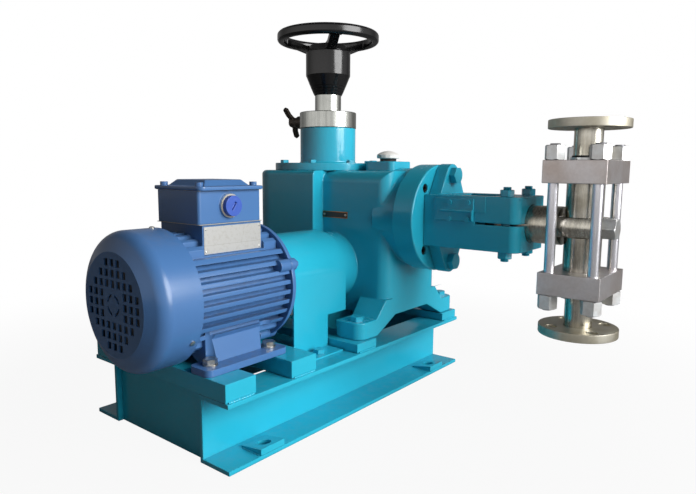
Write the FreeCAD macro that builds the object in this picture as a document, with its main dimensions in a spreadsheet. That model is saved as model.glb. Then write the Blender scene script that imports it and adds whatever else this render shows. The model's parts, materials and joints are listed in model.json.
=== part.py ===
import FreeCAD, Part
import math
import os
import Sketcher

Vector = FreeCAD.Vector
Rotation = FreeCAD.Rotation
Placement = FreeCAD.Placement

# Driving dimensions in millimetres: alias, value, meaning
SIZES = [
    ("run_gap", 0.05, "radial clearance of shafts, plungers and bolts in their holes"),
    ("seat_gap", 0.3, "clearance between moving pieces that rest near each other"),
    # Base frame
    ("base_length", 558, "rail length along Y"),
    ("base_width", 303, "width over both rails"),
    ("base_height", 90, "rail height"),
    ("rail_flange", 50, "flange width outside the web"),
    ("rail_web", 6, "web thickness"),
    ("flange_thick", 6, "rail flange thickness"),
    ("end_plate", 6, "end plate thickness"),
    ("end_inset", 8, "end plates set in from the rail ends"),
    ("bar_width", 49, "cross bar width along Y"),
    ("bar_inset", 4, "cross bar set in from the flange edge"),
    ("motor_bar", 24, "height of the cross bars under the motor"),
    ("pump_bar", 14, "height of the cross bars under the pump"),
    ("motor_bar_pitch", 112, "spacing of the two motor bars"),
    ("anchor_edge", 17.5, "anchor hole centre from the rail's outer edge"),
    ("anchor_dy", 412, "anchor hole spacing along Y"),
    ("anchor_dia", 18, "anchor hole diameter"),
    ("washer_length", 42, "taper washer length along Y"),
    ("washer_width", 38, "taper washer width along X"),
    ("washer_thick", 9, "taper washer at the flange edge"),
    ("washer_thin", 3, "taper washer near the web"),
    ("deck_front", -24, "Y of the guard deck's pump end"),
    ("deck_length", 82, "guard deck length along Y"),
    # Motor, frame size 90S
    ("motor_x", 26, "X of the drive shaft line"),
    ("shaft_height", 90, "motor shaft above its feet"),
    ("motor_hole_dx", 140, "foot hole spacing across"),
    ("motor_hole_dy", 100, "foot hole spacing along the shaft"),
    ("motor_hole_y", -260, "Y of the fan-side foot holes"),
    ("motor_bolt_dia", 10, "foot bolt diameter"),
    ("motor_bolt_flats", 16, "foot bolt head across flats"),
    ("foot_thick", 9, "motor foot thickness"),
    ("foot_width", 180, "over both motor feet"),
    ("foot_tread", 40, "width of one foot"),
    ("foot_end", 19, "foot beyond its holes along Y"),
    ("frame_back", -282, "Y of the frame's fan end"),
    ("frame_length", 156, "finned frame length"),
    ("core_radius", 71, "frame between the fins"),
    ("fin_radius", 81, "over the fins"),
    ("frame_bore", 60, "frame bore radius"),
    ("fin_pitch", 14, "fin spacing"),
    ("fin_thick", 6, "fin thickness"),
    ("fin_count", 8, "fins on each side"),
    ("shield_radius", 85, "end shield radius"),
    ("shield_depth", 12, "drive end shield depth"),
    ("shield_ear", 9, "radius of the end shield ears"),
    ("ear_angle", 22, "angle of the first end shield ear above the shaft, degrees"),
    ("hub_depth", 8, "bearing hub beyond the shield"),
    ("cover_radius", 89, "fan cover outer radius"),
    ("cover_length", 65, "fan cover length"),
    ("cover_shoulder", 12, "depth of the fan cover's shoulder"),
    ("cover_round", 18, "rounding of the fan cover's outer edge"),
    ("cover_wall", 2, "fan cover sheet thickness"),
    ("grille_radius", 65, "flat grille disc radius"),
    ("grille_pitch", 12.9, "grille hole spacing"),
    ("grille_wide", 8, "grille hole width"),
    ("grille_high", 9, "grille hole height"),
    ("grille_reach", 17, "square of the farthest grille hole, in pitches"),
    ("slot_inner", 10.5, "inner radius of the four centre slots"),
    ("slot_outer", 14, "outer radius of the four centre slots"),
    ("fan_radius", 76, "cooling fan radius"),
    ("fan_width", 24, "cooling fan blade width"),
    ("fan_hub", 20, "cooling fan hub radius"),
    ("fan_blades", 9, "cooling fan blades"),
    ("blade_thick", 3, "cooling fan blade thickness"),
    ("rotor_radius", 40, "rotor core radius"),
    ("rotor_length", 90, "rotor and stator core length"),
    ("air_gap", 0.5, "gap between rotor and stator"),
    ("winding_length", 18, "end winding beyond the core"),
    ("motor_shaft_dia", 24, "motor shaft end diameter"),
    ("motor_shaft_reach", 50, "shaft end beyond its shoulder"),
    ("shoulder_reach", 9, "shaft shoulder beyond the drive shield"),
    ("shoulder_dia", 30, "shaft diameter behind the shoulder"),
    ("bearing_radius", 26, "motor and worm bearing outer radius"),
    ("bearing_width", 15, "motor and worm bearing width"),
    ("box_low_y", -255, "Y of the terminal box's fan side"),
    ("box_length", 104, "terminal box along Y"),
    ("box_width", 89, "terminal box across"),
    ("box_offset", 3, "terminal box centre beyond the shaft line"),
    ("box_overhang", 5, "box beyond its seat at the fan side"),
    ("neck_top", 93, "terminal box seat above the shaft"),
    ("box_height", 43, "terminal box height"),
    ("box_wall", 4, "terminal box wall"),
    ("lid_lip", 7, "lid beyond the box"),
    ("lid_plate", 5, "lid plate thickness"),
    ("lid_rise", 8, "raised middle of the lid"),
    ("lid_slope", 8, "width of the lid's sloped border"),
    ("plug_offset", 49, "cable plug from the box's fan side"),
    ("plug_radius", 13.5, "cable plug radius"),
    ("plug_reach", 8, "cable plug beyond the box"),
    ("plug_lean", -38, "lean of the plug's slot, degrees"),
    ("plate_thick", 0.8, "name plate thickness"),
    ("neck_plate_high", 35, "motor plate height"),
    ("casting_plate_long", 54, "plate on the casting along X"),
    ("casting_plate_high", 11, "height of the plate on the casting"),
    # Coupling and guard
    ("hub_radius", 34, "coupling hub radius"),
    ("hub_length", 34, "coupling hub length"),
    ("jaw_length", 15, "coupling jaw length"),
    ("jaw_count", 3, "jaws on each hub"),
    ("jaw_angle", 40, "angle of one jaw, degrees"),
    ("leg_angle", 18, "angle of one spider leg, degrees"),
    ("jaw_inner", 14, "inner radius of jaws and spider"),
    ("coupling_gap", 1, "axial clearance of the spider"),
    ("guard_radius", 64, "coupling guard outer radius"),
    ("guard_wall", 3, "coupling guard sheet"),
    ("guard_length", 120, "coupling guard length along Y"),
    ("guard_leg", 76, "length of the guard's full-height side"),
    ("guard_notch", 52, "guard side above the rail behind the notch"),
    ("guard_foot", 32, "guard foot width"),
    ("guard_bolt_dia", 10, "guard bolt diameter"),
    # Gear housing
    ("pump_y", 134, "Y of the plunger axis"),
    ("plunger_rise", 186, "plunger axis above the pump feet"),
    ("housing_half", 142, "half length of the casting along X"),
    ("housing_top", 261, "casting top above its feet"),
    ("arch_height", 25.5, "arch under the casting"),
    ("gear_half", 103, "half width of the gear chamber block"),
    ("gear_corner", 48, "corner radius of the gear chamber block"),
    ("gear_split", 6, "X where the gear block meets the crosshead block"),
    ("cross_half", 78, "half width of the crosshead block"),
    ("cross_round", 20, "rounding of the crosshead block"),
    ("top_round", 8, "rounding of the gear block's top edge"),
    ("chamber_radius", 75, "gear chamber radius"),
    ("chamber_floor", 40, "chamber floor above the arch"),
    ("foot_reach", 145, "half width over the pump feet"),
    ("foot_height", 27, "pump foot height"),
    ("foot_inside", 95, "half length between the foot pads along X"),
    ("foot_draft", 7, "lean of the gussets above the foot pads"),
    ("foot_corner", 17, "foot corner radius"),
    ("arch_foot", 102, "half width of the arch at the feet"),
    ("arch_top", 49, "half width of the arch at its top"),
    ("slope_end", 54, "end of the foot slope above the feet"),
    ("pump_bolt_dx", 244, "pump foot bolt spacing along X"),
    ("pump_bolt_dy", 256, "pump foot bolt spacing along Y"),
    ("pump_bolt_dia", 12, "pump foot bolt diameter"),
    ("pump_bolt_flats", 19, "pump foot bolt head across flats"),
    ("boss_radius", 57, "worm boss radius"),
    ("boss_front", 17, "Y of the worm boss's motor end"),
    ("boss_back", 245, "Y of the worm boss's far end"),
    ("tunnel_radius", 30, "worm tunnel radius"),
    ("bore_radius", 50, "crosshead bore radius"),
    ("neck_radius", 80, "round neck in front of the crosshead block"),
    ("neck_length", 13, "neck length"),
    ("filler_x", 87, "X of the oil filler"),
    ("filler_pad", 16, "filler pad above the casting"),
    ("filler_half", 30, "half width of the filler pad"),
    ("filler_hole", 12, "filler hole radius"),
    ("cap_radius", 19.5, "filler cap radius"),
    ("cap_height", 18, "filler cap height"),
    ("end_cover_radius", 46, "worm end cover radius"),
    ("end_cover_thick", 9, "worm end cover thickness"),
    ("small_bolt_dia", 8, "cover bolt diameter"),
    ("small_bolt_flats", 13, "cover bolt head across flats"),
    # Worm gear
    ("tooth_module", 3, "worm gear module"),
    ("worm_starts", 3, "worm starts"),
    ("wheel_teeth", 36, "worm wheel teeth"),
    ("worm_pitch_dia", 44, "worm pitch diameter"),
    ("thread_length", 50, "length of the worm thread"),
    ("tooth_play", 1.1, "thinning of each worm and wheel tooth"),
    ("wheel_width", 26, "worm wheel face width"),
    ("wheel_hub", 24, "worm wheel hub radius"),
    ("hub_top", 28, "wheel hub above the worm axis"),
    ("worm_shaft_dia", 24, "worm shaft end diameter"),
    ("worm_body_dia", 32, "worm shaft beside the thread"),
    ("wheel_bearing", 36, "wheel bearing outer radius"),
    ("wheel_bearing_width", 12, "wheel bearing width"),
    # Crank, rod and crosshead
    ("stroke", 20, "longest plunger stroke"),
    ("adjust_travel", 28, "travel of the stroke adjuster"),
    ("journal_dia", 30, "crank shaft journal diameter"),
    ("crank_pin_dia", 21, "slanted crank pin diameter"),
    ("crank_web", 30, "crank web radius"),
    ("web_thick", 12, "crank web thickness"),
    ("rod_thick", 22, "connecting rod thickness"),
    ("rod_length", 130, "connecting rod between centres"),
    ("rod_eye", 48, "big end outer radius"),
    ("rod_bore", 41, "big end bore radius"),
    ("rod_small_eye", 16, "small end radius"),
    ("rod_shank", 18, "connecting rod width"),
    ("cross_length", 60, "crosshead length"),
    ("cross_slot", 40, "crosshead slot width"),
    ("cross_pin_dia", 16, "crosshead pin diameter"),
    ("cross_pin_length", 80, "crosshead pin length"),
    ("plunger_dia", 25, "plunger diameter"),
    # Stroke adjuster
    ("disc_radius", 97, "adjuster flange radius"),
    ("disc_thick", 13, "adjuster flange thickness"),
    ("disc_bolt_circle", 87, "adjuster flange bolt circle radius"),
    ("disc_bolts", 8, "adjuster flange bolts"),
    ("column_radius", 51, "adjuster column radius"),
    ("column_height", 63, "column above its flange"),
    ("carrier_radius", 36, "adjuster column bore radius"),
    ("carrier_length", 50, "thrust carrier length"),
    ("lock_ring_radius", 52, "lock ring radius"),
    ("lock_ring_height", 29, "lock ring height"),
    ("sleeve_radius", 24, "scale sleeve radius"),
    ("sleeve_height", 55, "scale sleeve above the ring"),
    ("spigot_radius", 20, "scale sleeve spigot radius"),
    ("screw_dia", 24, "adjusting screw diameter"),
    ("screw_collar", 18, "adjusting screw collar radius"),
    ("thimble_start", 30.6, "thimble edge above the lock ring at zero stroke"),
    ("thimble_edge", 25.4, "thimble radius at its lower edge"),
    ("thimble_radius", 40.5, "thimble radius"),
    ("thimble_cone", 34.4, "height of the thimble's cone"),
    ("thimble_height", 76.4, "thimble height"),
    ("wheel_radius", 92, "handwheel radius"),
    ("rim_width", 14, "handwheel rim width"),
    ("rim_height", 18, "handwheel rim height"),
    ("rim_rise", 16, "handwheel rim above its hub face"),
    ("spoke_width", 17, "handwheel spoke width"),
    ("spoke_count", 3, "handwheel spokes"),
    ("spoke_turn", -40.5, "angle of the first spoke from X at rest, degrees"),
    ("hand_hub", 38, "handwheel hub radius"),
    ("hand_hub_height", 12, "handwheel hub height"),
    ("wing_hub", 12, "lock screw hub radius"),
    ("wing_reach", 43, "lock screw beyond the ring"),
    ("wing_lean", 32, "lean of the wings, degrees"),
    ("lock_screw_dia", 10, "lock screw diameter"),
    # Front cover and yoke
    ("collar_radius", 86, "crosshead cover radius"),
    ("collar_length", 38, "crosshead cover length"),
    ("spigot_length", 12, "crosshead cover spigot"),
    ("collar_recess", 30, "recess radius inside the cover"),
    ("seal_length", 18, "plunger seal length in the cover"),
    ("ring_screw_circle", 69, "cover screw circle radius"),
    ("lobe_pitch", 132, "spacing of the yoke flange bolts"),
    ("lobe_radius", 21, "yoke flange lobe radius"),
    ("lobe_middle", 52, "yoke flange middle radius"),
    ("yoke_flange", 21, "yoke flange thickness"),
    ("yoke_bolt_dia", 16, "yoke bolt diameter"),
    ("yoke_bolt_flats", 24, "yoke bolt head across flats"),
    ("yoke_length", 154, "yoke from the cover to its clamp end"),
    ("yoke_width", 104, "yoke width"),
    ("yoke_height", 80, "yoke height"),
    ("yoke_wall", 9, "yoke side wall"),
    ("clamp_length", 47, "yoke clamp length"),
    ("clamp_round", 14, "rounding of the clamp ears"),
    ("clamp_slit", 3, "clamp slit height"),
    ("slit_length", 67, "clamp slit length"),
    ("stud_pitch", 78, "clamp stud spacing"),
    ("stud_dia", 12, "clamp stud diameter"),
    ("stud_flats", 19, "clamp nut across flats"),
    ("window_cover_thick", 3, "side cover thickness"),
    ("window_start", 8, "side cover under the yoke flange"),
    ("window_end", 65, "side cover beyond the yoke flange"),
    ("window_low", 1.5, "side cover's lower edge above the plunger axis"),
    ("window_drop", 4, "side cover below the yoke's top"),
    ("window_rib", 3, "rib on the side cover"),
    ("window_screw_dia", 4, "side cover screw diameter"),
    # Liquid end
    ("head_reach", 227.5, "valve axis beyond the cover face"),
    ("head_radius", 27.5, "pump head radius"),
    ("head_half_flat", 14, "half height between the valve seats"),
    ("head_end", 27.5, "head beyond the valve axis"),
    ("chamber_bore", 13.5, "plunger chamber radius"),
    ("port_bore", 8, "radius of the port passages"),
    ("packing_radius", 19, "packing box radius"),
    ("packing_length", 45, "packing box length"),
    ("end_plug_length", 18, "end plug beyond the head"),
    ("end_plug_flats", 27, "end plug across flats"),
    ("valve_radius", 25, "valve housing radius"),
    ("valve_length", 47, "valve housing length"),
    ("block_thick", 31, "clamp block thickness"),
    ("block_dx", 84, "clamp block along X"),
    ("block_dy", 110, "clamp block along Y"),
    ("pipe_radius", 19, "pipe neck radius"),
    ("pipe_bore", 12, "pipe neck bore radius"),
    ("discharge_reach", 43, "discharge neck between block and flange"),
    ("suction_reach", 48, "suction neck between block and flange"),
    ("port_flange", 54, "pipe flange radius"),
    ("port_thick", 12, "pipe flange thickness"),
    ("port_face", 2, "raised face height"),
    ("port_face_radius", 25.4, "raised face radius"),
    ("port_circle", 39.7, "pipe flange bolt circle radius"),
    ("port_hole_dia", 15.9, "pipe flange bolt hole"),
    ("rod_dx", 58.8, "tie rod spacing along X"),
    ("rod_dy", 88.6, "tie rod spacing along Y"),
    ("tie_dia", 14, "tie rod diameter"),
    ("tie_flats", 24, "tie rod nut across flats"),
    ("tie_nut", 20, "tie rod nut height"),
    ("tie_end", 2, "tie rod beyond its nut"),
    ("ball_radius", 11, "check ball radius"),
    ("ball_chamber", 14, "check ball chamber radius"),
    ("ball_lift", 4, "check ball lift"),
    ("seat_land", 8, "valve seat length"),
]

doc = FreeCAD.newDocument("PlungerPump")
sheet = doc.addObject("Spreadsheet::Sheet", "Sizes")


class Size:
    """A dimension that knows both its value and its sheet formula."""

    def __init__(self, value, formula):
        self.value = float(value)
        self.formula = formula

    def joined(self, sign, other, value):
        return Size(value, "(%s %s %s)" % (self.formula, sign, formula(other)))

    def __add__(self, other):
        return self.joined("+", other, self.value + number(other))

    def __sub__(self, other):
        return self.joined("-", other, self.value - number(other))

    def __mul__(self, other):
        return self.joined("*", other, self.value * number(other))

    def __truediv__(self, other):
        return self.joined("/", other, self.value / number(other))

    def __radd__(self, other):
        return Size(other, repr(float(other))) + self

    def __rsub__(self, other):
        return Size(other, repr(float(other))) - self

    def __rmul__(self, other):
        return self * other

    def __neg__(self):
        return self * -1


def number(size):
    return size.value if isinstance(size, Size) else float(size)


def formula(size):
    return size.formula if isinstance(size, Size) else repr(float(size))


def root(size):
    return Size(math.sqrt(number(size)), "sqrt(%s)" % formula(size))


class SheetValues:
    """The sheet's cells by alias."""


S = SheetValues()
for row, (alias, value, meaning) in enumerate(SIZES, start=1):
    sheet.set("A%d" % row, meaning)
    sheet.set("B%d" % row, str(value))
    sheet.setAlias("B%d" % row, alias)
    setattr(S, alias, Size(value, "Sizes." + alias))
doc.recompute()

# A body's own Z axis is turned to a world axis; its own X and Y then lie along the next two
AXIS_TURN = {
    "X": Rotation(Vector(1, 1, 1), 120),
    "Y": Rotation(Vector(1, 1, 1), 240),
    "Z": Rotation(),
}
nodes = []


def bind(item, prop, size):
    item.setExpression(prop, formula(size))


def keep(label, item):
    """Name a finished piece of the pump."""
    item.Label = label
    nodes.append(item)
    return item


def place(item, axis, centre, start):
    """Stand an item's own Z axis on a world axis; centre holds the other two in X, Y, Z order."""
    first, second = centre
    spots = {"X": (start, first, second), "Y": (first, start, second), "Z": (first, second, start)}
    item.Placement = Placement(Vector(), AXIS_TURN[axis])
    for letter, size in zip("xyz", spots[axis]):
        bind(item, "Placement.Base." + letter, size)
    return item


def leaned(item, line, angle):
    """Turn a finished item by an angle in degrees about a line along X through (y, z)."""
    y, z = line
    item.Placement = Placement(Vector(), Rotation(Vector(1, 0, 0), number(angle)))
    cosine, sine = (Size(getattr(math, name)(math.radians(number(angle))), "%s(%s * 1 deg)" % (name, formula(angle)))
                    for name in ("cos", "sin"))
    bind(item, "Placement.Rotation.Angle", angle)
    bind(item, "Placement.Base.y", y - y * cosine + z * sine)
    bind(item, "Placement.Base.z", z - y * sine - z * cosine)
    return item


def block(x_span, y_span, z_span):
    box = doc.addObject("Part::Box", "Block")
    for prop, span in zip(("Length", "Width", "Height"), (x_span, y_span, z_span)):
        bind(box, prop, span[1] - span[0])
    return place(box, "Z", (x_span[0], y_span[0]), z_span[0])


def rod(axis, centre, span, radius):
    cylinder = doc.addObject("Part::Cylinder", "Rod")
    bind(cylinder, "Radius", radius)
    bind(cylinder, "Height", span[1] - span[0])
    return place(cylinder, axis, centre, span[0])


def ball(centre, radius):
    sphere = doc.addObject("Part::Sphere", "Ball")
    bind(sphere, "Radius", radius)
    return place(sphere, "Z", centre[:2], centre[2])


def hexagon(axis, centre, span, flats):
    prism = doc.addObject("Part::Prism", "Hexagon")
    prism.Polygon = 6
    bind(prism, "Circumradius", flats / root(3))
    bind(prism, "Height", span[1] - span[0])
    return place(prism, axis, centre, span[0])


def fuse(*pieces):
    whole = doc.addObject("Part::MultiFuse", "Fusion")
    whole.Shapes = list(pieces)
    whole.Refine = True
    return whole


def common(*pieces):
    whole = doc.addObject("Part::MultiCommon", "Common")
    whole.Shapes = list(pieces)
    return whole


def group(*pieces):
    several = doc.addObject("Part::Compound", "Group")
    several.Links = list(pieces)
    return several


def cut(base, *tools):
    remainder = doc.addObject("Part::Cut", "Cut")
    remainder.Base = base
    remainder.Tool = tools[0] if len(tools) == 1 else fuse(*tools)
    return remainder


def rounded(base, radius, rule):
    """Fillet the edges whose middle point and direction meet a rule."""
    doc.recompute()
    picked = []
    for index, edge in enumerate(base.Shape.Edges, start=1):
        middle = edge.valueAt((edge.FirstParameter + edge.LastParameter) / 2)
        run = edge.Vertexes[-1].Point - edge.Vertexes[0].Point
        if rule(middle, run):
            picked.append((index, number(radius), number(radius)))
    fillet = doc.addObject("Part::Fillet", "Rounding")
    fillet.Base = base
    fillet.Edges = picked
    return fillet


def near(value, size):
    return abs(value - number(size)) < 0.01


def body_on(axis, centre, start=0):
    """An empty body whose own Z axis runs along a world axis."""
    body = doc.addObject("PartDesign::Body", "Body")
    body.AllowCompound = True
    return place(body, axis, centre, start)


def sketch_on(body, plane, lift=0, turn=0):
    sketch = body.newObject("Sketcher::SketchObject", "Sketch")
    origin_plane = [item for item in body.Origin.OriginFeatures if item.Role == plane][0]
    sketch.AttachmentSupport = [(origin_plane, "")]
    sketch.MapMode = "FlatFace"
    sketch.AttachmentOffset = Placement(Vector(), Rotation(Vector(0, 0, 1), number(turn)))
    bind(sketch, "AttachmentOffset.Base.z", lift)
    return sketch


def fix_point(sketch, line, end, point):
    for kind, across, size in (("DistanceX", -2, point[0]), ("DistanceY", -1, point[1])):
        if number(size) == 0 and not isinstance(size, Size):
            sketch.addConstraint(Sketcher.Constraint("PointOnObject", line, end, across))
            continue
        made = sketch.addConstraint(Sketcher.Constraint(kind, -1, 1, line, end, number(size)))
        sketch.setExpression("Constraints[%d]" % made, formula(size))


def draw_outline(sketch, points):
    first = sketch.GeometryCount
    corners = [Vector(number(x), number(y), 0) for x, y in points]
    for start, end in zip(corners, corners[1:] + corners[:1]):
        sketch.addGeometry(Part.LineSegment(start, end), False)
    for index, point in enumerate(points):
        following = first + (index + 1) % len(points)
        sketch.addConstraint(Sketcher.Constraint("Coincident", first + index, 2, following, 1))
        fix_point(sketch, first + index, 1, point)


def draw_circle(sketch, centre, radius):
    spot = Vector(number(centre[0]), number(centre[1]), 0)
    circle = sketch.addGeometry(Part.Circle(spot, Vector(0, 0, 1), number(radius)), False)
    fix_point(sketch, circle, 3, centre)
    made = sketch.addConstraint(Sketcher.Constraint("Radius", circle, number(radius)))
    sketch.setExpression("Constraints[%d]" % made, formula(radius))


def pad(body, span, outlines=(), circles=()):
    """Pad closed outlines and circles drawn across the body's own Z axis."""
    sketch = sketch_on(body, "XY_Plane", span[0])
    for outline in outlines:
        draw_outline(sketch, outline)
    for centre, radius in circles:
        draw_circle(sketch, centre, radius)
    feature = body.newObject("PartDesign::Pad", "Pad")
    feature.Profile = sketch
    bind(feature, "Length", span[1] - span[0])
    body.Tip = feature
    return feature


def turn(body, outline):
    """Turn an outline of (radius, height) corners about the body's own Z axis."""
    sketch = sketch_on(body, "XZ_Plane")
    draw_outline(sketch, outline)
    feature = body.newObject("PartDesign::Revolution", "Turned")
    feature.Profile = sketch
    feature.ReferenceAxis = (sketch, ["V_Axis"])
    feature.Angle = 360
    body.Tip = feature
    return feature


def around(body, feature, count):
    """Repeat a feature about the body's own Z axis."""
    pattern = body.newObject("PartDesign::PolarPattern", "Around")
    pattern.Originals = [feature]
    pattern.Axis = (feature.Profile[0], ["N_Axis"])
    pattern.Angle = 360
    bind(pattern, "Occurrences", count)
    body.Tip = pattern
    return pattern


def turned(axis, centre, outline, start=0):
    body = body_on(axis, centre, start)
    turn(body, outline)
    return body


def ring(axis, centre, span, outer, inner):
    low, high = span
    return turned(axis, centre, [(inner, low), (outer, low), (outer, high), (inner, high)])


def drilled(span, axis, spots, radius):
    """One round hole for each spot."""
    return [rod(axis, spot, span, radius) for spot in spots]


def spots_around(centre, radius, count, first=0.0):
    """Points on a circle, first at an angle in degrees."""
    angles = [math.radians(first + 360.0 * step / count) for step in range(count)]
    return [(centre[0] + radius * math.cos(a), centre[1] + radius * math.sin(a)) for a in angles]


def four_corners(centre, x_pitch, y_pitch):
    return [(centre[0] + x_pitch / 2 * i, centre[1] + y_pitch / 2 * j) for i in (-1, 1) for j in (-1, 1)]


def hex_bolt(axis, centre, seat, dia, flats, grip, way=1):
    """A hexagon bolt whose head stands on seat and whose shank runs back by grip."""
    head = dia * 0.65 * way
    head_span = ordered(seat, seat + head)
    shank_span = ordered(seat - grip * way, seat + head / 2)
    return fuse(hexagon(axis, centre, head_span, flats), rod(axis, centre, shank_span, dia / 2))


def ordered(first, second):
    return (first, second) if number(first) < number(second) else (second, first)


def nut(axis, centre, seat, height, flats, hole, way=1):
    span = ordered(seat, seat + height * way)
    return cut(hexagon(axis, centre, span, flats), rod(axis, centre, span, hole))


def washer(axis, centre, span, outer, inner):
    return cut(rod(axis, centre, span, outer), rod(axis, centre, span, inner))


# Places shared by several pieces
rail_edge = S.base_width / 2
web_face = rail_edge - S.rail_flange
web_back = web_face - S.rail_web
rail_end = S.base_length / 2
bar_edge = rail_edge - S.bar_inset
motor_feet = S.base_height + S.motor_bar
pump_feet = S.base_height + S.pump_bar
shaft_z = motor_feet + S.shaft_height
frame_front = S.frame_back + S.frame_length
shield_face = frame_front + S.shield_depth
shoulder_y = shield_face + S.shoulder_reach
shaft_end = shoulder_y + S.motor_shaft_reach
cover_back = S.frame_back - S.cover_length
drive_line = (S.motor_x, shaft_z)

wheel_pitch = S.tooth_module * S.wheel_teeth / 2
wheel_x = S.motor_x - S.worm_pitch_dia / 2 - wheel_pitch
plunger_z = pump_feet + S.plunger_rise
plunger_line = (S.pump_y, plunger_z)
wheel_line = (wheel_x, S.pump_y)
belly = pump_feet + S.arch_height
top_z = pump_feet + S.housing_top
neck_face = S.housing_half + S.neck_length
collar_face = neck_face + S.collar_length
yoke_face = collar_face + S.yoke_flange
yoke_end = collar_face + S.yoke_length
valve_x = collar_face + S.head_reach
valve_line = (valve_x, S.pump_y)
column_foot = top_z + S.disc_thick
column_top = column_foot + S.column_height
ring_top = column_top + S.lock_ring_height
slope = S.stroke / 2 / S.adjust_travel

bar_rows = [
    (-rail_end, S.motor_bar),
    (-rail_end + S.motor_bar_pitch, S.motor_bar),
    (S.pump_y - S.pump_bolt_dy / 2 - S.bar_width / 2 - 6.5, S.pump_bar),
    (rail_end - S.bar_width, S.pump_bar),
]
motor_holes = [
    (S.motor_x + S.motor_hole_dx / 2 * side, S.motor_hole_y + S.motor_hole_dy * step)
    for side in (-1, 1) for step in (0, 1)
]
pump_holes = four_corners((0, S.pump_y), S.pump_bolt_dx, S.pump_bolt_dy)
anchor_holes = four_corners((0, 0), S.base_width - S.anchor_edge * 2, S.anchor_dy)
guard_holes = [
    (S.motor_x + (S.guard_radius + S.guard_foot / 2) * side, S.deck_front - S.deck_length / 2)
    for side in (-1, 1)
]


def base_frame():
    rails = body_on("Y", (0, 0), -rail_end)
    outlines = []
    for side in (-1, 1):
        back, face, edge = web_back * side, web_face * side, rail_edge * side
        thick, high = S.flange_thick, S.base_height
        outlines.append([
            (0, back), (0, edge), (thick, edge), (thick, face),
            (high - thick, face), (high - thick, edge), (high, edge), (high, back),
        ])
    pad(rails, (0, S.base_length), outlines)
    anchors = drilled((-1, S.flange_thick + 1), "Z", anchor_holes, S.anchor_dia / 2)
    screws = drilled((S.base_height - S.flange_thick - 1, S.base_height + 1), "Z",
                     guard_holes, S.guard_bolt_dia / 2 + S.run_gap)
    keep("base_rails", cut(rails, *anchors, *screws))

    across = (-web_back, web_back)
    deck_span = (S.deck_front - S.deck_length, S.deck_front)
    ends = [
        block(across, (rail_end - S.end_inset - S.end_plate, rail_end - S.end_inset), (0, S.base_height)),
        block(across, (S.end_inset - rail_end, S.end_inset + S.end_plate - rail_end), (0, S.base_height)),
    ]
    deck = block(across, deck_span, (S.base_height - S.flange_thick, S.base_height))
    keep("base_cross_plates", group(*ends, cut(deck, *screws)))

    bars = []
    for low, height in bar_rows:
        bars.append(block((-bar_edge, bar_edge), (low, low + S.bar_width),
                          (S.base_height, S.base_height + height)))
    deep = (S.base_height + 4, motor_feet + 1)
    taps = drilled(deep, "Z", motor_holes, S.motor_bolt_dia / 2 + S.run_gap)
    taps += drilled((S.base_height - 1, pump_feet + 1), "Z", pump_holes, S.pump_bolt_dia / 2 + S.run_gap)
    keep("cross_bars", cut(group(*bars), *taps))

    wedges = body_on("Y", (0, 0), -S.washer_length / 2)
    outlines = []
    for side in (-1, 1):
        edge = rail_edge * side
        inner = (rail_edge - S.washer_width) * side
        low = S.flange_thick
        outlines.append([
            (low, inner), (low, edge), (low + S.washer_thick, edge), (low + S.washer_thin, inner),
        ])
    spans = [
        (S.anchor_dy / 2 * side, S.washer_length + S.anchor_dy / 2 * side)
        for side in (-1, 1)
    ]
    for span in spans:
        pad(wedges, span, outlines)
    holes = drilled((S.flange_thick - 1, S.flange_thick + S.washer_thick + 1), "Z",
                    anchor_holes, S.anchor_dia / 2)
    keep("anchor_washers", cut(wedges, *holes))


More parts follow.
